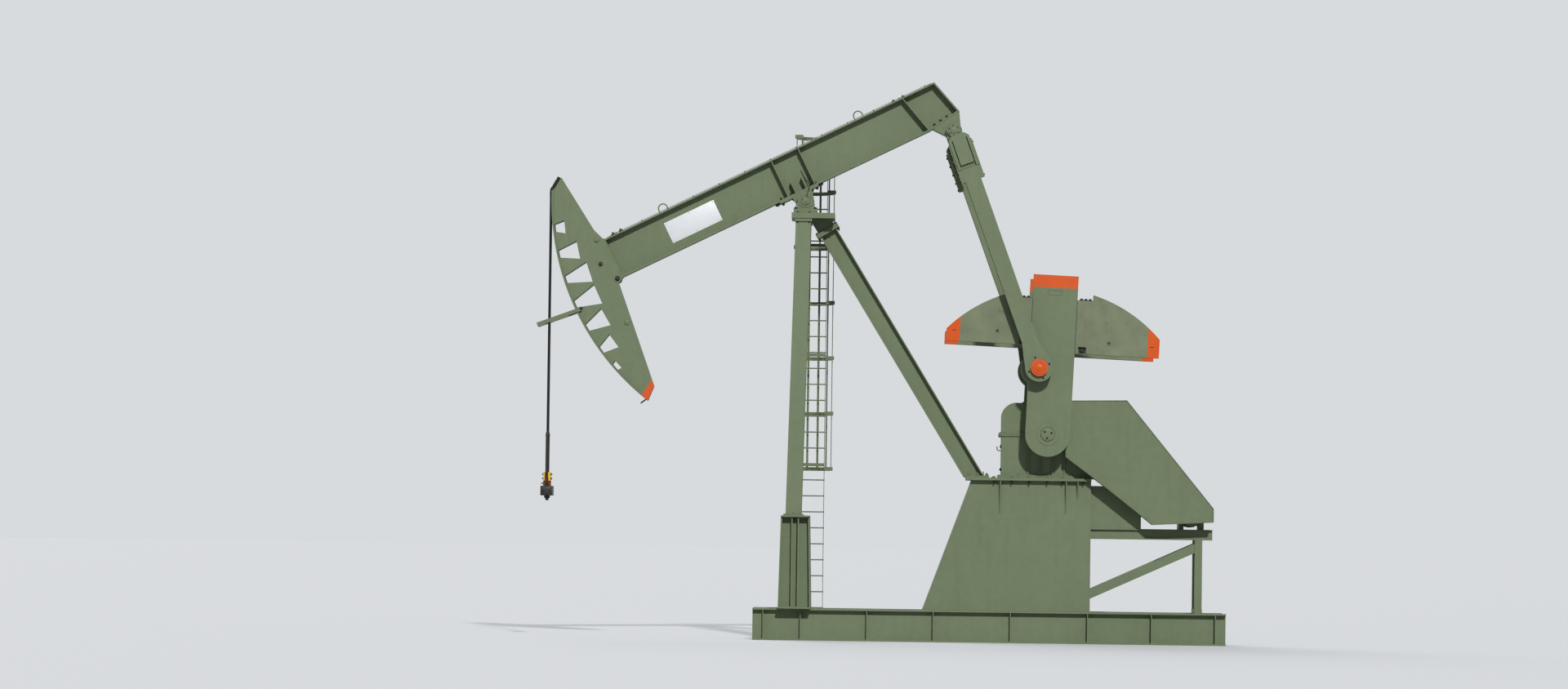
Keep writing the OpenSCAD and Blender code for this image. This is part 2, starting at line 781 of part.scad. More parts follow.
bearing_half = 190;
house_r = 165;
boss_t = 8;
module tail_bearing() {
    a0 = tail_kink + 60;
    color(paint) on_beam() difference() {
        union() {
            plate_y(-bearing_half, bearing_half) polygon([
                [a0, beam_bottom(a0) - seat_gap], [tail_end, beam_bottom(tail_end) - seat_gap],
                [tail_arm + 130, -60], [tail_arm - 130, -60]]);
            translate([tail_arm, 0, 0]) bar_y(house_r, -bearing_half - boss_t, bearing_half + boss_t);
        }
        translate([tail_arm, 0, 0]) bar_y(tail_shaft_d / 2 + fit, -300, 300);
    }
}

// Shaft of the tail bearing, with two hangers down to the cross beam between the pitmans
hanger_in = bearing_half + boss_t + 12;
hanger_out = hanger_in + 140;
hanger_r = 150;
cross_beam_h = 220;
cross_beam_w = 200;
module equalizer() {
    low = -pocket_low - pocket_h + seat_gap;
    end = pocket_back - seat_gap;
    color(paint) on_pitman() {
        bar_y(tail_shaft_d / 2, -hanger_out - 40, hanger_out + 40);
        for (side = [-1, 1])
            plate_y(min(side * hanger_in, side * hanger_out), max(side * hanger_in, side * hanger_out)) {
                circle(r = hanger_r, $fn = round_fn);
                polygon([[-hanger_r + 2, 0], [hanger_r - 2, 0],
                         [cross_beam_w / 2 + 60, low + 5], [-cross_beam_w / 2 - 60, low + 5]]);
            }
        block([-cross_beam_w / 2, -end, low], [cross_beam_w / 2, end, low + cross_beam_h]);
    }
}

/* Pitmans */

head_half = 200;
head_top = 160;
head_low = 810;
head_deep = 480;
head_cut = 70;
groove_w = 20;
groove_x = 130;
groove_deep = 60;
band_h = 75;
strap_out = 225;
strap_top = 300;
strap_low = 1060;
strap_half = 125;
pocket_w = 320;
pocket_low = 250;
pocket_h = 390;
pocket_back = pitman_y + pitman_d - 70;
floor_t = 30;

// Box at the upper end of a pitman, open towards the middle, with a strap down each side
module pitman_head(side) {
    outer = pitman_y + pitman_d;
    mid = pitman_y + pitman_d / 2;
    strap_in = pitman_w / 2 + seat_gap;
    color(paint) on_pitman() mirror([0, side < 0 ? 1 : 0, 0]) {
        difference() {
            plate_y(outer - head_deep, outer) polygon([
                [-head_half, -head_low], [head_half, -head_low], [head_half, -head_top - head_cut],
                [head_half - head_cut, -head_top], [head_cut - head_half, -head_top],
                [-head_half, -head_top - head_cut]]);
            block([-pocket_w / 2, outer - head_deep - 10, -pocket_low - pocket_h],
                  [pocket_w / 2, pocket_back, -pocket_low]);
            block([-pocket_w / 2, outer - head_deep - 10, floor_t - head_low],
                  [pocket_w / 2, mid, -pocket_low - pocket_h - floor_t]);
            for (x = [-groove_x - groove_w, groove_x])
                block([x, outer - groove_deep, -head_low + band_h - 10],
                      [x + groove_w, outer + 10, -pocket_low]);
            block([-groove_x - groove_w, outer - groove_deep, -head_low - 10],
                  [groove_x + groove_w, outer + 10, -head_low + band_h]);
        }
        for (hand = [0, 1]) mirror([hand, 0, 0]) plate_y(mid - strap_half, mid + strap_half) polygon([
            [strap_in, -strap_low], [strap_out, -strap_low], [strap_out, -strap_top],
            [head_half - 5, -strap_top], [head_half - 5, -head_low + 10], [strap_in, -head_low + 10]]);
    }
}

// Column of a pitman with the eye at its foot
wrist_r = 110;
module pitman(side) {
    y0 = min(side * pitman_y, side * (pitman_y + pitman_d));
    mid = side * (pitman_y + pitman_d / 2);
    color(paint) on_pitman() difference() {
        union() {
            translate([0, mid, -pitman_l + foot_r / 2])
                linear_extrude(pitman_l - foot_r / 2 - head_low - seat_gap)
                    h_section(pitman_w, pitman_d - 40, 18, 16);
            translate([0, 0, -pitman_l]) bar_y(foot_r, y0, y0 + pitman_d);
            plate_y(y0, y0 + pitman_d)
                polygon([[-foot_r + 10, -pitman_l + 60], [foot_r - 10, -pitman_l + 60],
                         [pitman_w / 2, -pitman_l + 520], [-pitman_w / 2, -pitman_l + 520]]);
        }
        translate([0, 0, -pitman_l]) bar_y(wrist_r + fit, -2000, 2000);
    }
}

// Wrist pin with its cap
module wrist(side) {
    inner = crank_out + run_gap;
    outer = pitman_y + pitman_d;
    color(safety) on_pitman() translate([0, 0, -pitman_l]) {
        bar_y(wrist_r, min(side * inner, side * outer), max(side * inner, side * outer));
        bar_y(160, min(side * outer, side * (outer + 80)), max(side * outer, side * (outer + 80)));
    }
}

/* Cranks */

module crankshaft() {
    color("dimgray") translate([shaft_x, 0, shaft_z])
        bar_y(shaft_d / 2, -crank_out - 20, crank_out + 20);
}

// One crank arm with its hub and the lobe for the wrist pin
hub_r = 420;
lobe_r = 330;
module crank(side) {
    y0 = min(side * crank_y, side * crank_out);
    phase = pin_lean - arm_lean;
    color(paint) on_crank() difference() {
        plate_y(y0, y0 + crank_t) union() {
            circle(r = hub_r, $fn = round_fn);
            translate([-arm_w / 2, 0]) square([arm_w, arm_reach]);
            rotate(-phase) translate([0, crank_radius]) circle(r = lobe_r, $fn = round_fn);
        }
        bar_y(shaft_d / 2 + fit, -2000, 2000);
    }
}

// One counterweight; side is near or far, hand is front or rear
notch_w = 300;
notch_h = 115;
clamp_in = 60;
clamp_w = 150;
clamp_tall = 130;
clamp_depth = 80;
module weight(side, hand) {
    inner = hand < 0 ? front_weight_in : rear_weight_in;
    edge = arm_w / 2;
    steps = 12;
    r = weight_r;
    end_turn = asin(weight_reach / r);
    start_turn = asin((edge + notch_w) / r);
    outer = [for (i = [0 : steps])
        let (turn = start_turn + i * (end_turn - start_turn) / steps) [r * sin(turn), r * cos(turn)]];
    shoulder = r * cos(start_turn) - notch_h;
    color("darkkhaki") on_crank() mirror([hand < 0 ? 1 : 0, 0, 0]) mirror([0, side < 0 ? 1 : 0, 0])
        difference() {
            plate_y(crank_y, crank_out)
                polygon(concat([[edge, inner], [edge, shoulder], [edge + notch_w, shoulder]],
                               outer, [[weight_reach, inner]]));
            block([edge + clamp_in, crank_out - clamp_depth, inner - 10],
                  [edge + clamp_in + clamp_w, crank_out + 10, inner + clamp_tall]);
        }
}

/* Hanger */

// Bar at the foot of the ropes that carries the well rod
carrier_reach = 320;
module carrier_bar() {
    color("dimgray") translate([rope_x, 0, carrier_z]) difference() {
        block([-110, -carrier_reach, 0], [110, carrier_reach, carrier_h]);
        translate([0, 0, -10]) cylinder(d = rod_hole_d, h = carrier_h + 20, $fn = round_fn);
    }
}

socket_h = 980;
socket_r = 27;
module rope_sockets() {
    color("dimgray") for (side = [-1, 1])
        translate([rope_x, side * rope_gap / 2, carrier_z + carrier_h])
            cylinder(r = socket_r, h = socket_h, $fn = 24);
}

rope_rise = 50;
rope_top = pivot_z + rope_rise;
module bridle_ropes() {
    z0 = carrier_z + carrier_h + socket_h;
    color("gray") for (side = [-1, 1])
        translate([rope_x, side * rope_gap / 2, z0]) cylinder(d = rope_d, h = rope_top - z0, $fn = 24);
}

cell_h = 100;
module load_cell() {
    color("firebrick") translate([rope_x, 0, carrier_z + carrier_h]) difference() {
        cylinder(r = 75, h = cell_h, $fn = round_fn);
        translate([0, 0, -10]) cylinder(d = rod_hole_d, h = cell_h + 20, $fn = round_fn);
    }
}

clamp_h = 160;
module rod_clamp() {
    color("gold") translate([rope_x, 0, carrier_z + carrier_h + cell_h]) difference() {
        block([-70, -110, 0], [70, 110, clamp_h]);
        translate([0, 0, -10]) cylinder(d = rod_hole_d, h = clamp_h + 20, $fn = round_fn);
    }
}

skid_rail(-1);  // skid_rail_near
skid_rail(1);  // skid_rail_far
skid_crosses();
front_pedestal();
gear_pedestal();
motor_stand();
motor_rails();
motor();
leg_front(-1);  // leg_front_near
leg_front(1);  // leg_front_far
leg_tie(tie_low_z);  // leg_tie_low
leg_tie(tie_high_z);  // leg_tie_high
leg_rear();
post_cap();
centre_bearings();
gearbox();
brake();
belt_guard();
ladder();
ladder_brackets();
cage_panel(1);  // cage_panel_1
cage_panel(2);  // cage_panel_2
cage_panel(3);  // cage_panel_3
cage_panel(4);  // cage_panel_4
cage_panel(5);  // cage_panel_5
cage_panel(6);  // cage_panel_6
walking_beam();
saddle();
horsehead();
horsehead_face();
rope_keeper();
tail_bearing();
lifting_eyes();
equalizer();
pitman(-1);  // pitman_near
pitman(1);  // pitman_far
pitman_head(-1);  // pitman_head_near
pitman_head(1);  // pitman_head_far
wrist(-1);  // wrist_near
wrist(1);  // wrist_far
crankshaft();
crank(-1);  // crank_near
crank(1);  // crank_far
weight(-1, -1);  // weight_near_front
weight(-1, 1);  // weight_near_rear
weight(1, -1);  // weight_far_front
weight(1, 1);  // weight_far_rear
carrier_bar();
bridle_ropes();
rope_sockets();
load_cell();
rod_clamp();
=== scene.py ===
"""Looks of the beam pumping unit: finishes, bolts, welds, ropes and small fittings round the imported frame."""
import json
from math import atan2, cos, hypot, pi, radians, sin

import bmesh
import bpy
from mathutils import Matrix, Vector


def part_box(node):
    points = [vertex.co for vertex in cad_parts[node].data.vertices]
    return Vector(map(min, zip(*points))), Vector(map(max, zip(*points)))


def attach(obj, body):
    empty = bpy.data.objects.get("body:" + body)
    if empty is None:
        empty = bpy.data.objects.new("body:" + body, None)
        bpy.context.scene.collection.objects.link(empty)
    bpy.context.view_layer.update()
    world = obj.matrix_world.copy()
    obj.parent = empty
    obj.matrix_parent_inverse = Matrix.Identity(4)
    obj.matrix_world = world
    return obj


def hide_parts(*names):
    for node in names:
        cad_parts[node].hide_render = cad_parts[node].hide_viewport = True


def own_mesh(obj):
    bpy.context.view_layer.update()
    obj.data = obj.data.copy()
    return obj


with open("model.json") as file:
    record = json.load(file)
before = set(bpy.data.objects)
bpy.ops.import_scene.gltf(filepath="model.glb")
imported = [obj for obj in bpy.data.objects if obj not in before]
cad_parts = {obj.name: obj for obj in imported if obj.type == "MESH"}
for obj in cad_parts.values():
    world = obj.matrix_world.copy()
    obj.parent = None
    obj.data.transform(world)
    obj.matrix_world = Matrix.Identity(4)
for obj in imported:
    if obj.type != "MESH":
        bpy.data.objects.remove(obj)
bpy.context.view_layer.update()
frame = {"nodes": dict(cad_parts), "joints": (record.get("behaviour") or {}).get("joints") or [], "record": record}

# Main places, in metres, from the frame's own joints and pieces
JOINT = {joint["name"]: joint for joint in frame["joints"]}
PIVOT = Vector(JOINT["beam_rock"]["pos_m"])
SHAFT = Vector(JOINT["crank_turn"]["pos_m"])
TAIL = Vector(JOINT["pitman_swing"]["pos_m"])
ROPE_X = (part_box("bridle_ropes")[0][0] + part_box("bridle_ropes")[1][0]) / 2
BEAM_TILT = atan2(TAIL.z - PIVOT.z, TAIL.x - PIVOT.x)
ARM_LEAN = radians(2.5)
WRIST = (Vector(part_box("wrist_near")[0]) + Vector(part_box("wrist_near")[1])) / 2
PITMAN_LEAN = atan2(TAIL.x - WRIST.x, TAIL.z - WRIST.z)
PITMAN_L = hypot(TAIL.x - WRIST.x, TAIL.z - WRIST.z)

# Frames of the moving pieces at rest
ON_BEAM = Matrix.Translation(PIVOT) @ Matrix.Rotation(-BEAM_TILT, 4, "Y")
ON_CRANK = Matrix.Translation(SHAFT) @ Matrix.Rotation(ARM_LEAN, 4, "Y")
ON_PITMAN = Matrix.Translation(TAIL) @ Matrix.Rotation(PITMAN_LEAN, 4, "Y")
ON_GROUND = Matrix.Identity(4)

# The photograph's view
CAMERA_AT = Vector((1.0, -107.3, 1.95))
LOOK_AT = Vector((-0.38, 0.0, 5.59))
CAMERA_ROLL = radians(0.75)
LENS_MM = 130.0

# A low sun in front, a little to the right, and a broad fill from behind: turn, height, energy, angle
SUNS = {"sun": (9, 29, 2.8, 2.5), "fill": (205, 38, 1.5, 40)}

# Colour and strength of the light from all round, and of the backdrop that only the camera and gloss see
AMBIENT = ((0.80, 0.88, 1.0), 0.20)
BACKDROP = ((0.90, 0.93, 0.96), 0.76)

# Half the floor's width, in metres
FLOOR = 900.0


def make_camera():
    camera = bpy.data.objects.new("camera", bpy.data.cameras.new("camera"))
    bpy.context.scene.collection.objects.link(camera)
    camera.data.lens = LENS_MM
    camera.data.sensor_width = 36.0
    camera.data.clip_end = 2000.0
    facing = (LOOK_AT - CAMERA_AT).to_track_quat("-Z", "Y").to_matrix().to_4x4()
    camera.matrix_world = Matrix.Translation(CAMERA_AT) @ facing @ Matrix.Rotation(CAMERA_ROLL, 4, "Z")
    bpy.context.scene.camera = camera


class Num:
    """A number socket of a shader that Python arithmetic works on."""

    def __init__(self, look, socket):
        self.look = look
        self.socket = socket

    def __add__(self, other):
        return self.look.math("ADD", self, other)

    def __sub__(self, other):
        return self.look.math("SUBTRACT", self, other)

    def __rsub__(self, other):
        return self.look.math("SUBTRACT", other, self)

    def __mul__(self, other):
        return self.look.math("MULTIPLY", self, other)

    def __truediv__(self, other):
        return self.look.math("DIVIDE", self, other)

    __radd__ = __add__
    __rmul__ = __mul__

    def clamp(self):
        """The value held between 0 and 1."""
        return self.look.math("ADD", self, 0.0, use_clamp=True)

    def above(self, edge, soft):
        """0 below the edge, 1 above it, over a soft width."""
        return ((self - edge) / soft + 0.5).clamp()


class Nodes:
    """An emptied node tree, and short ways to add nodes to it."""

    def __init__(self, tree):
        self.tree = tree
        tree.nodes.clear()

    def node(self, kind, settings=None, **inputs):
        """A node by its type and settings, with its sockets' values or links; i0 is the first socket."""
        made = self.tree.nodes.new(kind)
        for key, value in (settings or {}).items():
            setattr(made, key, value)
        for key, value in inputs.items():
            self.feed(made.inputs[int(key[1:]) if key[0] == "i" and key[1:].isdigit() else key], value)
        return made

    def feed(self, socket, value):
        if isinstance(value, Num):
            value = value.socket
        if isinstance(value, bpy.types.NodeSocket):
            self.tree.links.new(value, socket)
        elif isinstance(value, tuple) and len(value) == 3 and socket.type == "RGBA":
            socket.default_value = (*value, 1.0)
        else:
            socket.default_value = value

    def math(self, operation, first, second, use_clamp=False):
        settings = {"operation": operation, "use_clamp": use_clamp}
        return Num(self, self.node("ShaderNodeMath", settings, i0=first, i1=second).outputs[0])

    def blend(self, share, low, high, mode="MIX"):
        """Colour between low and high by a share from 0 to 1."""
        settings = {"data_type": "RGBA", "blend_type": mode}
        return self.node("ShaderNodeMix", settings, i0=share, i6=low, i7=high).outputs[2]


class Look(Nodes):
    """A material under construction."""

    def __init__(self, name):
        self.material = bpy.data.materials.new(name)
        self.material.use_nodes = True
        super().__init__(self.material.node_tree)
        self.surface = self.node("ShaderNodeBsdfPrincipled")
        self.node("ShaderNodeOutputMaterial", Surface=self.surface.outputs[0])
        self.place = self.node("ShaderNodeTexCoord").outputs["Object"]

    def noise(self, scale, detail=3.0, rough=0.5, stretch=None):
        """Noise from 0 to 1; scale is in features for each metre."""
        where = self.place
        if stretch:
            where = self.node("ShaderNodeMapping", Vector=where, Scale=stretch).outputs[0]
        made = self.node("ShaderNodeTexNoise", Vector=where, Scale=scale, Detail=detail, Roughness=rough)
        return Num(self, made.outputs["Fac"])

    def axes(self):
        """X, Y and Z of the surface's place."""
        split = self.node("ShaderNodeSeparateXYZ", Vector=self.place)
        return [Num(self, split.outputs[i]) for i in range(3)]

    def facing(self, direction):
        """How far the surface faces a fixed direction of the object, from -1 to 1."""
        normal = self.node("ShaderNodeTexCoord").outputs["Normal"]
        made = self.node("ShaderNodeVectorMath", {"operation": "DOT_PRODUCT"}, i0=normal, i1=direction)
        return Num(self, made.outputs["Value"])

    def edges(self, radius):
        """1 at outer edges and corners, 0 on flat stretches."""
        rounded = self.node("ShaderNodeBevel", {"samples": 4}, Radius=radius).outputs[0]
        flat = self.node("ShaderNodeNewGeometry").outputs["True Normal"]
        made = self.node("ShaderNodeVectorMath", {"operation": "DOT_PRODUCT"}, i0=rounded, i1=flat)
        return ((1.0 - Num(self, made.outputs["Value"])) * 8.0).clamp()

    def bump(self, height, distance, strength=1.0):
        """Relief from a height of 0 to 1, in metres."""
        made = self.node("ShaderNodeBump", Height=height, Distance=distance, Strength=strength)
        self.set(Normal=made.outputs[0])

    def set(self, **values):
        """Values or links for the shader's own sockets, with _ for the spaces of their names."""
        for key, value in values.items():
            self.feed(self.surface.inputs[key.replace("_", " ")], value)


SAGE = (0.128, 0.166, 0.088)
SAGE_PALE = (0.144, 0.183, 0.102)
SAGE_DEEP = (0.110, 0.146, 0.073)
WEIGHT_TAN = (0.156, 0.180, 0.106)
DUST = (0.300, 0.275, 0.205)
RUST = (0.165, 0.060, 0.022)
RUST_DARK = (0.060, 0.026, 0.014)
SAFETY = (0.590, 0.076, 0.002)
GRIME = (0.022, 0.021, 0.018)
ROUGH_CASTING = {"chipped": 0.5, "gloss": 0.6}


def shade(colour, share):
    return tuple(c * share for c in colour)


def weather(look, base, chipped=0.22, spotted=0.05, dust=0.22, gloss=0.45):
    """Paint over steel: mottled colour, dust on ledges, faint streaks, chips and rust at edges."""
    mottle = look.noise(0.9, 4.0, 0.55)
    fine = look.noise(26.0, 4.0, 0.6)
    cloud = look.noise(7.0, 5.0, 0.65)
    streak = look.noise(1.0, 4.0, 0.6, stretch=(9.0, 9.0, 0.7))
    up = look.facing((0.0, 0.0, 1.0))
    paler = look.blend(0.35, base, (1.0, 1.0, 1.0), "SOFT_LIGHT")
    darker = look.blend(0.5, base, (0.0, 0.0, 0.0), "SOFT_LIGHT")
    colour = look.blend((mottle - 0.3) * 0.8, base, paler)
    colour = look.blend(cloud.above(0.55, 0.25) * 0.16, colour, darker)
    colour = look.blend(streak.above(0.60, 0.18) * 0.07, colour, GRIME)
    chips = (look.edges(0.012) * fine.above(0.55, 0.10) * chipped).clamp()
    spots = look.noise(5.0, 6.0, 0.7).above(0.72, 0.05) * spotted
    rust = look.blend(fine, RUST, RUST_DARK)
    colour = look.blend(spots, colour, rust)
    colour = look.blend(chips, colour, rust)
    settled = (up.above(0.75, 0.4) * (fine * 0.5 + mottle * 0.8) * dust).clamp()
    colour = look.blend(settled, colour, DUST)
    rough = (gloss + mottle * 0.12 + chips * 0.3 + settled * 0.3).clamp()
    look.set(Base_Color=colour, Roughness=rough, Specular_IOR_Level=0.30)
    look.bump(fine * 0.3 + look.noise(3.0, 2.0) * 0.7 + chips * -0.8, 0.0012, 0.6)
    return look


def paint_look():
    look = Look("sage_paint")
    return weather(look, look.blend(look.noise(0.35, 2.0), SAGE_DEEP, SAGE_PALE)).material


def cast_ground(look):
    """The paler, blotchy paint of rough castings."""
    blotches = look.noise(3.5, 5.0, 0.65).above(0.5, 0.35)
    return look.blend(blotches, shade(WEIGHT_TAN, 0.84), shade(WEIGHT_TAN, 1.16))


def weight_look():
    look = Look("weight_paint")
    return weather(look, cast_ground(look), spotted=0.12, dust=0.3, **ROUGH_CASTING).material


def tipped_look(name, nx, nz, far, cast=False):
    """Paint that turns orange past a plane, which is given in the frame at rest."""
    look = Look(name)
    x, _, z = look.axes()
    orange = (x * nx + z * nz + look.noise(30.0, 2.0) * 0.008).above(far + 0.004, 0.006)
    if cast:
        colour = look.blend(orange, cast_ground(look), SAFETY)
        return weather(look, colour, spotted=0.1, **ROUGH_CASTING).material
    ground = look.blend(look.noise(0.35, 2.0), shade(SAGE, 0.88), shade(SAGE, 1.10))
    return weather(look, look.blend(orange, ground, SAFETY)).material


def orange_look():
    return weather(Look("orange_paint"), SAFETY, gloss=0.38).material


def galvanised_look():
    look = Look("galvanised")
    spangle = look.noise(60.0, 2.0)
    stain = look.noise(2.5, 4.0)
    look.set(Base_Color=look.blend(stain, (0.20, 0.215, 0.20), (0.33, 0.345, 0.33)),
             Roughness=0.42 + spangle * 0.2, Metallic=0.75)
    look.bump(spangle, 0.0004, 0.4)
    return look.material


def dark_steel_look():
    look = Look("dark_steel")
    grain = look.noise(45.0, 4.0)
    look.set(Base_Color=look.blend(grain.above(0.55, 0.2), (0.016, 0.016, 0.015), (0.05, 0.045, 0.038)),
             Roughness=0.35 + grain * 0.3, Metallic=0.6)
    look.bump(grain, 0.0006, 0.5)
    return look.material


def black_rubber_look():
    look = Look("black_rubber")
    grain = look.noise(90.0, 3.0)
    look.set(Base_Color=look.blend(grain, (0.010, 0.010, 0.010), (0.028, 0.027, 0.025)),
             Roughness=0.6 + grain * 0.2)
    look.bump(grain, 0.0004, 0.4)
    return look.material


def rope_look():
    look = Look("wire_rope")
    grain = look.noise(180.0, 3.0)
    look.set(Base_Color=look.blend(grain, (0.006, 0.006, 0.007), (0.020, 0.019, 0.018)),
             Roughness=0.55 + grain * 0.25, Specular_IOR_Level=0.25)
    look.bump(grain, 0.0006, 0.6)
    return look.material


def plate_look():
    look = Look("white_plate")
    dirt = look.noise(6.0, 5.0, 0.6)
    look.set(Base_Color=look.blend(dirt.above(0.62, 0.2) * 0.25, (0.68, 0.70, 0.72), (0.46, 0.48, 0.48)),
             Roughness=0.32 + dirt * 0.15)
    look.bump(dirt, 0.0004, 0.3)
    return look.material


def plain_paint_look(name, colour):
    return weather(Look(name), colour, chipped=0.2, spotted=0.04, dust=0.15, gloss=0.35).material


LOOKS = {
    "paint": paint_look(),
    "weight_paint": weight_look(),
    "orange_paint": orange_look(),
    "galvanised": galvanised_look(),
    "dark_steel": dark_steel_look(),
    "wire_rope": rope_look(),
    "white_plate": plate_look(),
    "red_paint": plain_paint_look("red_paint", (0.42, 0.03, 0.02)),
    "yellow_paint": plain_paint_look("yellow_paint", (0.72, 0.44, 0.02)),
    "black_rubber": black_rubber_look(),
}

# Where the orange starts: for the horsehead's tip a plane's direction in X and Z and its distance from the
# origin, for crank and weights a distance from the shaft along the crank or across it, in metres
HEAD_TIP = (0.8355, -0.549, -5.08)
CRANK_END = 2.755
FRONT_TIP, REAR_TIP = 1.75, 1.78
ARM_ALONG = ON_CRANK.to_3x3() @ Vector((0.0, 0.0, 1.0))
ARM_ACROSS = ON_CRANK.to_3x3() @ Vector((1.0, 0.0, 0.0))
ACROSS_AT = SHAFT.dot(ARM_ACROSS)
TIPPED = {
    "horsehead": tipped_look("head_paint", *HEAD_TIP),
    "horsehead_face": tipped_look("face_paint", *HEAD_TIP),
    "crank": tipped_look("crank_paint", *ARM_ALONG.xz, SHAFT.dot(ARM_ALONG) + CRANK_END),
    "front": tipped_look("front_weight_paint", *(-ARM_ACROSS).xz, FRONT_TIP - ACROSS_AT, cast=True),
    "rear": tipped_look("rear_weight_paint", *ARM_ACROSS.xz, REAR_TIP + ACROSS_AT, cast=True),
}


class Piece:
    """A mesh under construction in one of the frames at rest, later set on its body."""

    def __init__(self, name, body, slot, place=ON_GROUND, look=None):
        self.name = name
        self.body = body
        self.slot = slot
        self.place = place
        self.look = look or LOOKS[slot]
        self.bm = bmesh.new()

    def box(self, corner, other, soft=0.0):
        """A box between two opposite corners, its edges rounded by soft."""
        low, high = Vector([*map(min, corner, other)]), Vector([*map(max, corner, other)])
        place = Matrix.Translation((low + high) / 2) @ Matrix.Diagonal((*(high - low), 1.0))
        made = bmesh.ops.create_cube(self.bm, size=1.0, matrix=place)["verts"]
        if soft:
            edges = list({edge for vert in made for edge in vert.link_edges})
            bmesh.ops.bevel(self.bm, geom=edges, offset=soft, segments=2, affect="EDGES", profile=0.6)

    def circle(self, middle, across, up, r, sides):
        """Points on a circle, for skin."""
        turns = [2 * pi * k / sides for k in range(sides)]
        return [self.bm.verts.new(middle + r * (across * cos(turn) + up * sin(turn))) for turn in turns]

    def skin(self, rings, ends=True):
        """Faces from each ring of points to the next, and over both ends."""
        for near, far in zip(rings, rings[1:]):
            for k in range(len(near)):
                after = (k + 1) % len(near)
                self.bm.faces.new((near[k], near[after], far[after], far[k]))
        if ends:
            self.bm.faces.new(list(reversed(rings[0])))
            self.bm.faces.new(rings[-1])

    def turn(self, at, out, profile, sides=20, hole=False):
        """A turned body from at along out, by its (distance, radius) pairs; hole leaves its middle open."""
        at, out = Vector(at), Vector(out).normalized()
        across = out.orthogonal().normalized()
        up = out.cross(across)
        rings = [self.circle(at + out * distance, across, up, r, sides) for distance, r in profile]
        self.skin(rings + rings[:1] if hole else rings, ends=not hole)

    def rod(self, start, end, r, sides, soft=0.0):
        """A round bar from start to end, its far rim rounded by soft."""
        start, end = Vector(start), Vector(end)
        length = (end - start).length
        profile = [(0.0, r), (length - soft, r)]
        if soft:
            profile += [(length - soft * 0.3, r - soft * 0.3), (length, r - soft)]
        self.turn(start, end - start, profile, sides)

    def ring(self, at, out, r_in, r_out, thick, sides=32):
        """A flat ring on a surface, its outer rim a little rounded."""
        soft = min(thick * 0.3, 0.004)
        profile = [(0.0, r_in), (0.0, r_out), (thick - soft, r_out), (thick, r_out - soft), (thick, r_in)]
        self.turn(at, out, profile, sides, hole=True)

    def bolt(self, at, out, size, tail=0.0):
        """A chamfered nut on a washer with a stud end; size is the stud's diameter."""
        at, out = Vector(at), Vector(out).normalized()
        self.rod(at - out * 0.001, at + out * size * 0.18, size * 1.15, 14)
        nut = ((0.0, 0.88), (0.08, 0.94), (0.72, 0.94), (0.82, 0.82))
        self.turn(at + out * size * 0.17, out, [(size * distance, size * r) for distance, r in nut], 6)
        self.rod(at + out * size * 0.9, at + out * (size * 1.3 + tail), size * 0.5, 10, soft=size * 0.1)

    def bolts(self, spots, out, size, tail=0.0):
        for at in spots:
            self.bolt(at, out, size, tail)

    def bolt_circle(self, centre, out, radius, count, size, start=0.0):
        """Bolts on a circle round an axis along Y."""
        centre = Vector(centre)
        for k in range(count):
            turn = start + 2 * pi * k / count
            self.bolt(centre + Vector((radius * cos(turn), 0.0, radius * sin(turn))), out, size)

    def tube(self, points, r, sides=10):
        """A round tube through a list of points, with closed ends."""
        points = [Vector(p) for p in points]
        rings = []
        normal = None
        for i, point in enumerate(points):
            ahead = points[min(i + 1, len(points) - 1)] - points[max(i - 1, 0)]
            ahead.normalize()
            if normal is None:
                normal = ahead.orthogonal().normalized()
            normal = (normal - ahead * normal.dot(ahead)).normalized()
            rings.append(self.circle(point, normal, ahead.cross(normal), r, sides))
        self.skin(rings)

    def done(self):
        """Makes the object, sets it on its body and gives it its finish."""
        bmesh.ops.recalc_face_normals(self.bm, faces=self.bm.faces)
        mesh = bpy.data.meshes.new(self.name)
        self.bm.to_mesh(mesh)
        self.bm.free()
        mesh.transform(self.place)
        mesh.shade_smooth()
        mesh.set_sharp_from_angle(angle=radians(32))
        mesh.materials.append(self.look)
        made = bpy.data.objects.new(self.name, mesh)
        bpy.context.scene.collection.objects.link(made)
        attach(made, self.body)
        return made


def dress(node, material):
    """Gives a CAD node its material."""
    slots = frame["nodes"][node].material_slots
    if not slots:
        frame["nodes"][node].data.materials.append(material)
    for one in slots:
        one.material = material


for sub in frame["record"]["subparts"]:
    dress(sub["node"], LOOKS[sub["material_slot"]])
for name in ["rope_keeper", "ladder", "ladder_brackets"] + [f"cage_panel_{k}" for k in range(1, 7)]:
    dress(name, LOOKS["paint"])
for name in ("horsehead", "horsehead_face"):
    dress(name, TIPPED[name])
for name in ("crank_near", "crank_far"):
    dress(name, TIPPED["crank"])
for name in ("near_front", "near_rear", "far_front", "far_rear"):
    dress("weight_" + name, TIPPED[name.split("_")[1]])

make_camera()

# Directions in any of the frames: up, down, ahead to the horsehead, back to the motor, near and far side
UP, DOWN = (0, 0, 1), (0, 0, -1)
AHEAD, BACK = (-1, 0, 0), (1, 0, 0)
NEAR, FAR = (0, -1, 0), (0, 1, 0)

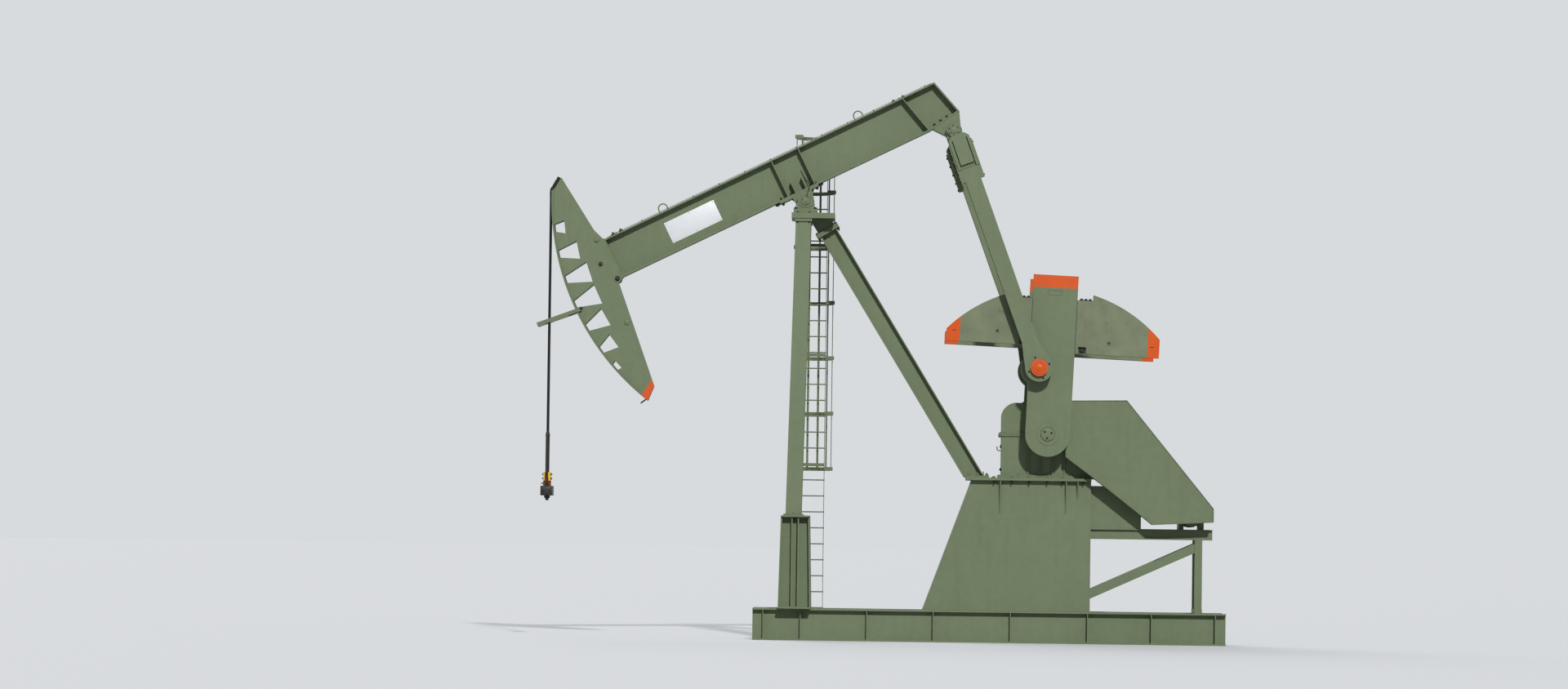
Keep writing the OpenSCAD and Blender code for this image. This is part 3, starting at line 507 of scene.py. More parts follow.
# Sizes that several pieces share, in metres
GEAR_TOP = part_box("gear_pedestal")[1][2]
CAP_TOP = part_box("post_cap")[1][2]
FRONT_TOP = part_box("front_pedestal")[1][2]
FAST_SHAFT_X = SHAFT.x + 0.95
MIDDLE_SHAFT_X = SHAFT.x + 0.53
MOTOR_X, MOTOR_Z = SHAFT.x + 2.75, GEAR_TOP - 0.65
BEAM_END = -3.74
BEAM_TOP = 1.0
BEAM_LOW = 0.20
FLANGE = 0.03
FACE_IN, FACE_OUT = 4.79, 4.82
ROPE_Y = 0.2
PITMAN_OUT = 1.45
CRANK_OUT = 1.10


def both(spots):
    """Each (x, y, z) spot, and its twin on the other side of the unit."""
    return [(x, side * y, z) for x, y, z in spots for side in (-1, 1)]


def spread(start, end, count):
    """Evenly spaced values, with both ends."""
    return [start + (end - start) * k / (count - 1) for k in range(count)]


def beam_low(a):
    """Underside of the walking beam at a place along it."""
    return BEAM_LOW + max(0.0, a - 2.7) * 0.1 / 0.665


# Base, post and ladder

def make_post_fittings():
    rear_foot = Vector((3.26, 0.0, GEAR_TOP))
    rear_head = Vector((0.42, 0.0, PIVOT.z - 0.55))
    along = rear_head - rear_foot
    on_rear = Matrix.Translation(rear_foot) @ Matrix.Rotation(atan2(along.x, along.z), 4, "Y")
    reach = along.length

    feet = Piece("leg_foot_bolts", "base", "paint")
    spots = [(x, 0.72 + dy, FRONT_TOP + 0.03) for x in (-0.285, -0.155, -0.025) for dy in (-0.157, 0.157)]
    feet.bolts(both(spots), UP, 0.018)
    feet.bolts(both([(-0.115 + dx, y, 0.63) for dx in (-0.27, 0.27) for y in (0.47, 0.70)]), UP, 0.024)
    feet.done()

    heads = Piece("leg_head_bolts", "base", "dark_steel")
    spots = [(-0.035 + dx, 0.43 + dy, CAP_TOP) for dx in (-0.11, 0.11) for dy in (-0.153, 0.153)]
    heads.bolts(both([spot for spot in spots if not 0.24 < spot[1] < 0.56 or abs(spot[0]) > 0.23]), UP, 0.020)
    heads.bolts(both([(x, y, CAP_TOP - 0.16) for x, y, _ in spots]), DOWN, 0.020)
    heads.done()

    bearings = Piece("bearing_bolts", "base", "dark_steel")
    bearings.bolts(both([(x, y, PIVOT.z - 0.16) for x in (-0.19, 0.19) for y in (0.31, 0.49)]), UP, 0.030)
    bearings.done()
    caps = Piece("bearing_covers", "base", "paint")
    seams = Piece("bearing_seams", "base", "dark_steel")
    for side in (-1, 1):
        caps.ring((0, side * 0.55, PIVOT.z), (0, side, 0), 0.0935, 0.138, 0.014, 40)
        caps.bolt_circle((0, side * 0.562, PIVOT.z), (0, side, 0), 0.118, 6, 0.009, 0.5)
        for x0, x1 in ((-0.157, -0.139), (0.139, 0.157)):
            seams.box((x0, side * 0.252, PIVOT.z - 0.003), (x1, side * 0.552, PIVOT.z + 0.003))
        for x in (-0.13, 0.13):
            caps.box((x - 0.045, side * 0.55 - 0.012, PIVOT.z - 0.10),
                     (x + 0.045, side * 0.55 + 0.012, PIVOT.z - 0.055), 0.004)
    caps.done()
    seams.done()

    splice = Piece("rear_leg_splice_bolts", "base", "dark_steel", on_rear)
    for x in (-0.203, 0.203):
        for y in (-0.165, 0.0, 0.165):
            splice.bolt((x, y, reach + 0.04), UP, 0.026)
            splice.bolt((x, y, reach - 0.04), DOWN, 0.026, tail=0.02)
    splice.done()
    seam = Piece("rear_leg_splice_seam", "base", "dark_steel", on_rear)
    for side in (-1, 1):
        seam.box((-0.232, side * 0.199, reach - 0.002), (0.232, side * 0.202, reach + 0.002))
        seam.box((side * 0.229, -0.2, reach - 0.002), (side * 0.233, 0.2, reach + 0.002))
    seam.done()

    foot = Piece("rear_leg_foot_bolts", "base", "paint")
    foot.bolts(both([(x, 0.212, GEAR_TOP + 0.04) for x in (3.145, 3.32, 3.49)]), UP, 0.030, tail=0.012)
    foot.done()

    gussets = Piece("rear_leg_gussets", "base", "paint")
    for side in (-1, 1):
        for x in (3.21, 3.42):
            gussets.box((x, side * 0.145, GEAR_TOP + 0.038), (x + 0.016, side * 0.185, GEAR_TOP + 0.12))
    gussets.done()


def make_pedestal_fittings():
    at_rim = (3.62, 3.95, 4.28, 4.62, 4.90, 5.30)
    at_foot = (3.85, 4.08, 4.37, 4.60, 4.83, 5.05, 5.30, 5.60, 5.90, 6.15)
    under = Piece("gear_table_bolts", "base", "dark_steel")
    under.bolts(both([(x, 0.555, GEAR_TOP - 0.05) for x in at_rim]), DOWN, 0.028, tail=0.03)
    under.done()
    upper = Piece("gear_table_nuts", "base", "paint")
    upper.bolts(both([(x, 0.555, GEAR_TOP) for x in at_rim]), UP, 0.026)
    upper.bolts(both([(x, 0.437, GEAR_TOP + 0.06) for x in at_foot]), UP, 0.016)
    upper.done()

    welds = Piece("base_weld_beads", "base", "paint")
    for side in (-1, 1):
        welds.tube([(2.30, side * 0.482, 0.602), (5.45, side * 0.482, 0.602)], 0.009, 6)
        welds.tube([(3.22, side * 0.482, GEAR_TOP - 0.052), (5.44, side * 0.482, GEAR_TOP - 0.052)], 0.008, 6)
        welds.tube([(-0.34, side * 0.892, 0.632), (0.11, side * 0.892, 0.632)], 0.007, 6)
        for x in (-0.7, 0.0, 2.5, 5.4, 7.8):
            welds.tube([(x, side * 0.448, 0.035), (x, side * 0.448, 0.39)], 0.008, 6)
            welds.tube([(x - 0.10, side * 0.448, 0.422), (x + 0.10, side * 0.448, 0.422)], 0.007, 6)
    welds.done()

    skid = Piece("skid_stiffeners", "base", "paint")
    for side in (-1, 1):
        for x in (-0.7, 0.0, 1.25, 2.5, 3.95, 5.4, 6.6, 7.8):
            skid.box((x - 0.008, side * 0.612, 0.028), (x + 0.008, side * 0.745, 0.572))
    skid.done()


def make_ladder_fittings():
    low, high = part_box("ladder")
    middle = (low[0] + high[0]) / 2
    plane = (low[1] + high[1]) / 2
    half = (high[0] - low[0]) / 2 - 0.006
    nuts = Piece("ladder_bolts", "base", "galvanised")
    for z in (3.33, 5.43, 7.53):
        nuts.bolts([(middle + side * half, plane - 0.06, z) for side in (-1, 1)], NEAR, 0.014)
    for z in spread(0.6, 9.14, 29):
        for side in (-1, 1):
            nuts.turn((middle + side * (half + 0.004), plane, z), (side, 0, 0),
                      [(0, 0.019), (0.003, 0.019), (0.007, 0.013)], 10)
    nuts.done()
    cage = Piece("cage_bolts", "base", "dark_steel")
    # The cage's hoops are halves of an oval, made of six straight stretches
    half_wide, deep = 0.39, 0.6825
    turns = [pi * k / 6 for k in range(7)]
    corners = [Vector((middle - half_wide * cos(turn), plane + deep * sin(turn), 0)) for turn in turns]
    for start, end in zip(corners, corners[1:]):
        spot = (start + end) / 2
        out = Vector((start.y - end.y, end.x - start.x, 0)).normalized()
        for hoop in range(7):
            at = spot + out * 0.008 + Vector((0, 0, 3.255 + hoop * 1.06))
            cage.bolt(at, out, 0.009)
            cage.bolt(at - out * 0.0145, -out, 0.008)
    cage.done()


# Gearbox, guard, motor and brake

def make_gearbox_fittings():
    # Both end walls of the gearbox
    x0, x1 = 3.76, 6.30
    split = Piece("gearbox_split_bolts", "base", "paint")
    # Where no bolt fits beside the shafts' bosses and ribs, with the room that each needs
    clear = [(SHAFT.x, 0.41), (MIDDLE_SHAFT_X, 0.20), (FAST_SHAFT_X, 0.20)]
    clear += [(SHAFT.x + dx, 0.035) for dx in (-0.34, -0.12, 0.12, 0.34)]
    for x in spread(x0 + 0.05, x1 - 0.05, 22):
        if all(abs(x - at) > room for at, room in clear):
            split.bolts([(x, side * 0.435, SHAFT.z + 0.03) for side in (-1, 1)], UP, 0.012)
            split.bolts([(x, side * 0.435, SHAFT.z - 0.03) for side in (-1, 1)], DOWN, 0.012)
    for y in spread(-0.36, 0.36, 6):
        for x in (x0 - 0.027, x1 + 0.027):
            split.bolt((x, y, SHAFT.z + 0.03), UP, 0.014)
            split.bolt((x, y, SHAFT.z - 0.03), DOWN, 0.014)
    split.done()
    seam = Piece("gearbox_split_seam", "base", "dark_steel")
    for side in (-1, 1):
        seam.box((x0 - 0.05, side * 0.4505 - 0.0015, SHAFT.z - 0.002),
                 (x1 + 0.05, side * 0.4505 + 0.0015, SHAFT.z + 0.002))
    for x in (x0 - 0.0505, x1 + 0.0505):
        seam.box((x - 0.0015, -0.45, SHAFT.z - 0.002), (x + 0.0015, 0.45, SHAFT.z + 0.002))
    seam.done()

    caps = Piece("gearbox_bearing_caps", "base", "paint")
    for side in (-1, 1):
        out = (0, side, 0)
        caps.ring((SHAFT.x, side * 0.64, SHAFT.z), out, 0.137, 0.262, 0.016, 48)
        caps.bolt_circle((SHAFT.x, side * 0.656, SHAFT.z), out, 0.225, 8, 0.016, 0.2)
        caps.bolt_circle((SHAFT.x, side * 0.46, SHAFT.z), out, 0.342, 12, 0.020, 0.13)
    caps.ring((MIDDLE_SHAFT_X, 0.47, SHAFT.z), FAR, 0.02, 0.135, 0.018, 36)
    caps.turn((MIDDLE_SHAFT_X, 0.47, SHAFT.z), FAR, [(0, 0.05), (0.03, 0.05), (0.036, 0.042)], 24)
    for x in (MIDDLE_SHAFT_X, FAST_SHAFT_X):
        caps.bolt_circle((x, 0.47, SHAFT.z), FAR, 0.150, 6, 0.012, 0.3)
    caps.done()

    top = SHAFT.z + 0.60
    cover = Piece("gearbox_inspection_cover", "base", "paint")
    cover.box((4.14, -0.26, top - 0.002), (4.70, 0.26, top + 0.016), 0.005)
    for x in spread(4.17, 4.67, 5):
        cover.bolts([(x, -0.235, top + 0.016), (x, 0.235, top + 0.016)], UP, 0.010)
    for y in spread(-0.12, 0.12, 3):
        cover.bolts([(4.17, y, top + 0.016), (4.67, y, top + 0.016)], UP, 0.010)
    cover.turn((4.42, 0.0, top + 0.015), UP,
               [(0, 0.03), (0.02, 0.03), (0.024, 0.055), (0.07, 0.055), (0.085, 0.035)], 20)
    cover.done()
    plugs = Piece("gearbox_plugs", "base", "dark_steel")
    plugs.bolt((x0, -0.20, GEAR_TOP + 0.16), AHEAD, 0.030)
    plugs.turn((x0, 0.22, SHAFT.z - 0.22), AHEAD,
               [(0, 0.036), (0.012, 0.036), (0.014, 0.028), (0.02, 0.028)], 20)
    elbow = ((0.01, 0.30), (0.05, 0.30), (0.075, 0.28), (0.08, 0.22))
    plugs.tube([(x0 - dx, 0.05, SHAFT.z - dz) for dx, dz in elbow], 0.009, 10)
    plugs.done()


def guard_outline():
    """The guard's corners in X and Z, in order."""
    fast = Vector((FAST_SHAFT_X, SHAFT.z))
    motor = Vector((MOTOR_X, MOTOR_Z))
    return [shaft + Vector(reach) for shaft, reach in (
        (fast, (-0.62, 0.64)), (fast, (0.54, 0.66)), (motor, (0.39, 0.11)), (motor, (0.39, -0.14)),
        (motor, (-0.75, -0.20)), (fast, (0.11, -0.94)), (fast, (-0.60, -0.41)))]


def make_guard_fittings():
    outline = guard_outline()
    centre = sum(outline, Vector((0, 0))) / len(outline)
    near, far = -0.83, -0.47
    rim = Piece("guard_rim", "base", "paint")
    corners = [corner + (centre - corner).normalized() * 0.004 for corner in outline]
    for y, r in ((near - 0.003, 0.008), (far - 0.012, 0.008), (near + 0.17, 0.006)):
        for (x0, z0), (x1, z1) in zip(corners, corners[1:] + corners[:1]):
            rim.tube([(x0, y, z0), (x1, y, z1)], r, 8)
    rim.done()
    bolts = Piece("guard_bolts", "base", "paint")
    for start, end in zip(outline, outline[1:] + outline[:1]):
        edge = end - start
        steps = max(2, round(edge.length / 0.34))
        inward = Vector((-edge.y, edge.x)).normalized()
        if inward.dot(centre - start) < 0:
            inward = -inward
        for k in range(steps):
            spot = start + edge * (k + 0.5) / steps + inward * 0.03
            bolts.bolt((spot.x, near, spot.y), NEAR, 0.008)
    bolts.done()
    brackets = Piece("guard_brackets", "base", "paint")
    for x in (5.35, 5.95):
        for z in (SHAFT.z - 0.27, SHAFT.z + 0.16):
            brackets.box((x - 0.03, -0.475, z), (x + 0.03, -0.415, z + 0.06), 0.004)
    brackets.done()


def make_motor_fittings():
    x, z = MOTOR_X, MOTOR_Z
    grille = Piece("motor_cowl_grille", "base", "paint")
    for r in (0.055, 0.095, 0.135, 0.175, 0.215):
        grille.ring((x, 0.418, z), FAR, r - 0.006, r + 0.006, 0.008, 36)
    for k in range(6):
        turn = pi * k / 3
        grille.tube([(x + r * cos(turn), 0.422, z + r * sin(turn)) for r in (0.03, 0.23)], 0.004, 6)
    grille.turn((x, 0.418, z), FAR, [(0, 0.03), (0.008, 0.028)], 20)
    grille.done()
    shields = Piece("motor_end_shield_bolts", "base", "dark_steel")
    shields.bolt_circle((x, -0.40, z), NEAR, 0.175, 8, 0.012, 0.4)
    shields.bolts([(x + dx, y, z - 0.20) for dx in (-0.225, 0.225) for y in (-0.24, 0.14)], UP, 0.014)
    shields.done()
    terminals = Piece("motor_terminal_box", "base", "paint")
    terminals.box((x + 0.195, -0.17, z - 0.06), (x + 0.34, 0.09, z + 0.13), 0.010)
    terminals.box((x + 0.335, -0.18, z - 0.07), (x + 0.352, 0.10, z + 0.14), 0.004)
    terminals.bolts([(x + 0.352, y, z + h) for y in (-0.16, 0.08) for h in (-0.05, 0.12)], BACK, 0.006)
    terminals.turn((x + 0.27, -0.04, z - 0.06), DOWN,
                   [(0, 0.026), (0.03, 0.026), (0.032, 0.018), (0.05, 0.018)], 14)
    terminals.done()
    eye = Piece("motor_lifting_eye", "base", "dark_steel")
    turns = [2 * pi * k / 20 for k in range(21)]
    eye.tube([(x + 0.028 * sin(turn), -0.04, z + 0.272 - 0.028 * cos(turn)) for turn in turns], 0.008, 8)
    eye.turn((x, -0.04, z + 0.222), UP, [(0, 0.022), (0.016, 0.022), (0.020, 0.013), (0.03, 0.011)], 14)
    eye.done()


def make_brake_fittings():
    x = FAST_SHAFT_X
    band = Piece("brake_band", "base", "black_rubber")
    band.ring((x, 0.555, SHAFT.z), FAR, 0.239, 0.252, 0.07, 48)
    band.done()
    lever = Piece("brake_hub_and_lever", "base", "dark_steel")
    lever.ring((x, 0.65, SHAFT.z), FAR, 0.058, 0.105, 0.03, 32)
    lever.bolt_circle((x, 0.65, SHAFT.z), FAR, 0.165, 6, 0.014, 0.2)
    for y in (0.57, 0.60):
        lever.box((x - 0.028, y, SHAFT.z + 0.245), (x + 0.028, y + 0.012, SHAFT.z + 0.32), 0.003)
    lever.bolt((x, 0.612, SHAFT.z + 0.29), FAR, 0.012)
    lever.done()


# Walking beam and horsehead

def make_beam_fittings():
    tail_bolts = Piece("tail_bearing_bolts", "beam", "dark_steel", ON_BEAM)
    for a in (2.83, 2.97, 3.11, 3.25):
        for y in (-0.14, 0.14):
            tail_bolts.bolt((a, y, beam_low(a) + FLANGE - 0.002), (-0.149, 0, 0.989), 0.032, tail=0.01)
    tail_bolts.done()
    saddle = Piece("saddle_bolts", "beam", "dark_steel", ON_BEAM)
    for a in (-0.40, -0.19, 0.21, 0.31):
        for y in (-0.165, 0.165):
            saddle.bolt((a, y, BEAM_LOW + FLANGE), UP, 0.028, tail=0.01)
            saddle.bolt((a, y, BEAM_LOW - 0.04), DOWN, 0.026)
    for end, out in ((-0.45, -1), (0.35, 1)):
        for y in (-0.12, 0.12):
            saddle.box((end + out * 0.025, y - 0.03, BEAM_LOW - 0.045),
                       (end + out * 0.06, y + 0.03, BEAM_LOW + 0.002), 0.003)
            saddle.turn((end, y, BEAM_LOW - 0.022), (out, 0, 0), [(0, 0.011), (0.10, 0.011)], 10)
            saddle.turn((end + out * 0.06, y, BEAM_LOW - 0.022), (out, 0, 0), [(0, 0.020), (0.018, 0.020)], 6)
    saddle.done()
    caps = Piece("saddle_shaft_caps", "beam", "paint", ON_BEAM)
    for side in (-1, 1):
        caps.turn((0, side * 0.569, 0), (0, side, 0), [
            (0, 0.088), (0.014, 0.088), (0.018, 0.084), (0.018, 0.055), (0.024, 0.052), (0.026, 0.045)], 40)
    caps.done()
    cap_bolts = Piece("saddle_shaft_cap_bolts", "beam", "dark_steel", ON_BEAM)
    for side in (-1, 1):
        cap_bolts.bolt_circle((0, side * 0.587, 0), (0, side, 0), 0.070, 3, 0.009, 0.3)
    cap_bolts.done()

    welds = Piece("beam_weld_beads", "beam", "paint", ON_BEAM)
    for side in (-1, 1):
        y = side * 0.012
        welds.tube([(a, y, beam_low(a) + FLANGE + 0.002) for a in (BEAM_END, 2.69, 3.31)], 0.008, 6)
        welds.tube([(a, y, BEAM_TOP - FLANGE - 0.002) for a in (BEAM_END, 3.12)], 0.008, 6)
        for a in (-0.27, -0.25, 0.29, 0.31):
            welds.tube([(a, y, 0.235), (a, y, 0.965)], 0.006, 6)
        for a in (-0.11, -0.09, 0.11, 0.13):
            welds.tube([(a, y, 0.235), (a, y, 0.455)], 0.006, 6)
    welds.done()

    plate = Piece("beam_plates", "beam", "white_plate", ON_BEAM)
    plate.box((-2.61, -0.0155, 0.375), (-1.57, -0.0100, 0.795), 0.0015)
    plate.done()
    rivets = Piece("beam_plate_rivets", "beam", "galvanised", ON_BEAM)
    for a in (-2.58, -2.09, -1.60):
        for p in (0.405, 0.765):
            rivets.turn((a, -0.0154, p), NEAR, [(0, 0.009), (0.002, 0.008), (0.004, 0.004)], 10)
    rivets.done()

    ends = Piece("beam_end_bolts", "beam", "paint", ON_BEAM)
    for p in spread(0.34, 0.86, 4):
        for y in (-0.155, 0.155):
            ends.bolt((BEAM_END, y, p), BACK, 0.018)
    ends.done()

    pads = Piece("lifting_eye_welds", "beam", "paint", ON_BEAM)
    for a in (-2.5, 1.6):
        for side in (-1, 1):
            pads.turn((a + side * 0.085, 0, BEAM_TOP - 0.001), UP,
                      [(0, 0.026), (0.004, 0.022), (0.012, 0.014)], 14)
    pads.done()

    line = Piece("beam_grease_line", "beam", "galvanised", ON_BEAM)
    clipped = spread(-3.5, 2.98, 13)
    line.tube([(-3.70, -0.11, 1.008), (-3.62, -0.11, 1.012)] + [(a, -0.11, 1.020) for a in clipped]
              + [(3.06, -0.11, 1.014), (3.12, -0.12, 1.004)], 0.006, 8)
    line.done()
    clips = Piece("beam_grease_clips", "beam", "dark_steel", ON_BEAM)
    for a in clipped:
        clips.box((a - 0.010, -0.117, 0.999), (a + 0.010, -0.103, 1.015), 0.002)
        clips.box((a - 0.010, -0.120, 1.013), (a + 0.010, -0.100, 1.028), 0.004)
    for a in (2.32, 2.52):
        clips.box((a - 0.035, -0.16, 0.999), (a + 0.035, -0.10, 1.022), 0.006)
        clips.turn((a, -0.13, 1.02), UP, [(0, 0.013), (0.02, 0.013), (0.023, 0.009)], 12)
    for a in (-3.56, -3.40):
        clips.box((a - 0.04, -0.17, 0.999), (a + 0.04, -0.06, 1.030), 0.008)
        clips.turn((a, -0.11, 1.028), UP, [(0, 0.020), (0.025, 0.020), (0.03, 0.012)], 12)
    clips.done()
    hose = Piece("saddle_grease_hose", "beam", "black_rubber", ON_BEAM)
    for side in (-1, 1):
        hose.tube([(a, side * y, p) for a, y, p in (
            (0.03, 0.575, 0.02), (0.05, 0.60, 0.06), (0.10, 0.585, 0.12), (0.14, 0.50, 0.17),
            (0.17, 0.38, 0.20), (0.19, 0.27, 0.225), (0.20, 0.215, 0.245), (0.205, 0.17, 0.262),
            (0.20, 0.10, 0.30), (0.18, 0.045, 0.38), (0.17, 0.020, 0.48), (0.17, 0.018, 0.58))], 0.008, 8)
    hose.done()


def head_arc(r, y, start, end, count):
    """Places on a circle about the bearing, between two angles in degrees above the beam's head end."""
    return [(-r * cos(radians(turn)), y, r * sin(radians(turn))) for turn in spread(start, end, count)]


def make_head_fittings():
    pins = Piece("horsehead_pins", "beam", "paint", ON_BEAM)
    bolts = Piece("horsehead_bolts", "beam", "dark_steel", ON_BEAM)
    for side in (-1, 1):
        face = side * 0.199
        out = (0, side, 0)
        pins.turn((-3.89, face, 1.05), out,
                  [(0, 0.052), (0.012, 0.052), (0.016, 0.040), (0.034, 0.040), (0.040, 0.032)], 24)
        pins.turn((-4.04, face, -0.61), out, [(0, 0.060), (0.010, 0.060), (0.020, 0.045), (0.026, 0.020)], 24)
        bolts.bolt((-4.02, face, 0.60), out, 0.036, tail=0.01)
        bolts.bolt((-3.85, face, 0.215), out, 0.042, tail=0.012)
        pins.ring((-4.02, face, 0.60), out, 0.045, 0.068, 0.006, 24)
        pins.ring((-3.85, face, 0.215), out, 0.052, 0.080, 0.008, 24)
        bolts.bolt((-4.71, side * 0.262, 0.0), out, 0.026)
    pins.done()
    bolts.done()

    welds = Piece("horsehead_welds", "beam", "paint", ON_BEAM)
    for side in (-1, 1):
        welds.tube(head_arc(FACE_IN - 0.001, side * 0.203, -25.6, 27.6, 60), 0.007, 6)
    welds.done()

    rope = Piece("rope_over_the_top", "beam", "wire_rope", ON_BEAM)
    clamps = Piece("rope_clamps_on_top", "beam", "dark_steel", ON_BEAM)
    for y in (-ROPE_Y, ROPE_Y):
        over = [(x, y, p) for x, p in (
            (-4.262, 2.284), (-4.245, 2.300), (-4.222, 2.309),
            (-4.18, 2.306), (-4.10, 2.357), (-4.02, 2.408))]
        rope.tube(head_arc(FACE_OUT + 0.018, y, 26.6, 27.9, 2) + over, 0.016, 10)
        clamps.turn((-4.221, y, 2.2945), (0.832, 0, 0.5547), [
            (0, 0.020), (0.02, 0.027), (0.05, 0.031), (0.17, 0.032), (0.17, 0.028), (0.19, 0.028),
            (0.19, 0.033), (0.235, 0.033), (0.242, 0.026)], 16)
    rope.done()
    clamps.done()

    tip = Piece("lower_tip_pin", "beam", "dark_steel", ON_BEAM)
    tip.tube([(-4.25, 0, -2.00), (-4.33, 0, -2.075), (-4.47, 0, -2.10)], 0.014, 8)
    tip.done()

    # The rope that wraps lies inside the face plate at rest. It gets a mesh of its own.
    for name, y in (("near", -ROPE_Y), ("far", ROPE_Y)):
        wrapped = Piece("rope_on_the_face_" + name, "beam", "wire_rope", ON_BEAM)
        wrapped.tube(head_arc((FACE_IN + FACE_OUT) / 2, y, 27.9, -25.2, 70), 0.014, 10)
        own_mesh(wrapped.done())


# Tail bearing, pitmans and wrists

def make_pitman_fittings():
    caps = Piece("tail_shaft_caps", "pitmans", "paint", ON_PITMAN)
    bolts = Piece("tail_shaft_bolts", "pitmans", "dark_steel", ON_PITMAN)
    for side in (-1, 1):
        out = (0, side, 0)
        caps.turn((0, side * 0.385, 0), out, [
            (0, 0.125), (0.018, 0.125), (0.023, 0.119), (0.023, 0.07), (0.032, 0.066), (0.034, 0.06)], 40)
        bolts.bolt_circle((0, side * 0.408, 0), out, 0.095, 6, 0.012, 0.3)
        for x in (-0.115, 0.115):
            for z in (-0.14, -0.24):
                bolts.bolt((x, side * 0.358, z), out, 0.024)
    caps.done()
    bolts.done()

    straps = Piece("strap_bolts", "pitmans", "dark_steel", ON_PITMAN)
    for side in (-1, 1):
        for y in (1.215, 1.385):
            for z in (-0.37, -0.54, -0.71, -0.88, -1.02):
                straps.bolt((-0.225, side * y, z), AHEAD, 0.016)
            for z in (-0.37, -1.02):
                straps.bolt((0.225, side * y, z), BACK, 0.014)
    straps.done()
    ends = Piece("equalizer_end_bolts", "pitmans", "dark_steel", ON_PITMAN)
    for side in (-1, 1):
        for x in (-0.065, 0.065):
            ends.bolt((x, side * 1.10, -0.42), UP, 0.026)
            ends.bolt((x, side * 0.55, -0.42), UP, 0.026)
    ends.done()
    welds = Piece("pitman_weld_beads", "pitmans", "paint", ON_PITMAN)
    for side in (-1, 1):
        for x in (-0.152, 0.152):
            welds.tube([(x, side * 1.432, -PITMAN_L + 0.52), (x, side * 1.168, -PITMAN_L + 0.52)], 0.006, 6)
        welds.tube([(-0.15, side * 1.432, -0.812), (0.15, side * 1.432, -0.812)], 0.006, 6)
        for x in (-0.101, 0.101):
            welds.tube([(x, side * 0.205, -0.42), (x, side * 0.352, -0.42)], 0.008, 6)
    welds.done()

    discs = Piece("wrist_cap_discs", "pitmans", "orange_paint", ON_PITMAN)
    nuts = Piece("wrist_cap_bolts", "pitmans", "dark_steel", ON_PITMAN)
    for side in (-1, 1):
        y = side * (PITMAN_OUT + 0.079)
        out = (0, side, 0)
        discs.turn((0, y, -PITMAN_L), out, [
            (0, 0.125), (0.010, 0.125), (0.015, 0.119), (0.015, 0.092), (0.006, 0.088), (0.006, 0.080),
            (0.017, 0.076), (0.019, 0.03), (0.024, 0.022)], 44)
        nuts.bolt_circle((0, side * PITMAN_OUT, -PITMAN_L), out, 0.205, 4, 0.018, radians(72) - PITMAN_LEAN)
    discs.done()
    nuts.done()


# Cranks and weights

def make_crank_fittings():
    seams = Piece("weight_seams", "cranks", "dark_steel", ON_CRANK)
    clamps = Piece("weight_clamp_bolts", "cranks", "dark_steel", ON_CRANK)
    ovals = Piece("crank_ovals", "cranks", "paint", ON_CRANK, TIPPED["crank"])
    hubs = Piece("crank_hub_covers", "cranks", "paint", ON_CRANK)
    bosses = Piece("weight_bosses", "cranks", "weight_paint", ON_CRANK)
    for side in (-1, 1):
        face = side * CRANK_OUT
        out = (0, side, 0)
        # The front weight and the rear one, each with the height of its lower edge
        for hand, inner in ((-1, 1.66), (1, 1.54)):
            x = hand * 0.42
            seams.box((x - 0.005, face - 0.0015, inner), (x + 0.005, face + 0.0015, 2.545))
            seams.box((hand * 1.825, face - 0.0015, inner + 0.190),
                      (hand * 1.895, face + 0.0015, inner + 0.206))
            for spot in (0.50, 0.58, 0.66):
                clamps.bolt((hand * spot, side * 0.99, 2.539), UP, 0.036)
            clamps.box((hand * 0.575 - 0.13, side * 0.99 - 0.06, 2.537),
                       (hand * 0.575 + 0.13, side * 0.99 + 0.06, 2.552), 0.003)
            clamps.bolt((hand * 0.555, side * 1.019, inner + 0.065), out, 0.040)
            clamps.box((hand * 0.555 - 0.06, side * 1.02 - 0.004, inner + 0.012),
                       (hand * 0.555 + 0.06, side * 1.02 + 0.004, inner + 0.118))
            bosses.turn((hand * 1.00, face, inner + 0.62), out,
                        [(0, 0.040), (0.006, 0.036), (0.010, 0.020)], 20)
            bosses.ring((hand * 1.05, face, inner + 0.23), out, 0.026, 0.044, 0.008, 24)
            clamps.turn((hand * 1.05, face, inner + 0.23), out, [(0, 0.026), (0.003, 0.025)], 20)
        points = []
        for turn in [2 * pi * k / 40 for k in range(40)]:
            shift = 0.097 if cos(turn) > 0 else -0.097
            points.append((shift + 0.043 * cos(turn), face, 2.665 + 0.043 * sin(turn)))
        ovals.tube(points + points[:1], 0.009, 8)
        hubs.turn((0, side * 1.119, 0), out, [(0, 0.128), (0.010, 0.126), (0.014, 0.10)], 40)
        hubs.ring((0, face, 0), out, 0.136, 0.21, 0.010, 48)
        hubs.box((-0.028, face, 0.128), (0.028, face + side * 0.012, 0.20), 0.003)
        clamps.bolt_circle((0, side * 1.131, 0), out, 0.075, 3, 0.020, 0.4)
    seams.done()
    clamps.done()
    ovals.done()
    hubs.done()
    bosses.done()


# Hanger

def strand(y, low, high, start):
    """Places along one of the six strands of the rope at y, which starts at an angle."""
    lay, r = 0.34, 0.0101
    turns = [(z, start + 2 * pi * z / lay) for z in spread(low, high, 190)]
    return [(ROPE_X + r * cos(turn), y + r * sin(turn), z) for z, turn in turns]


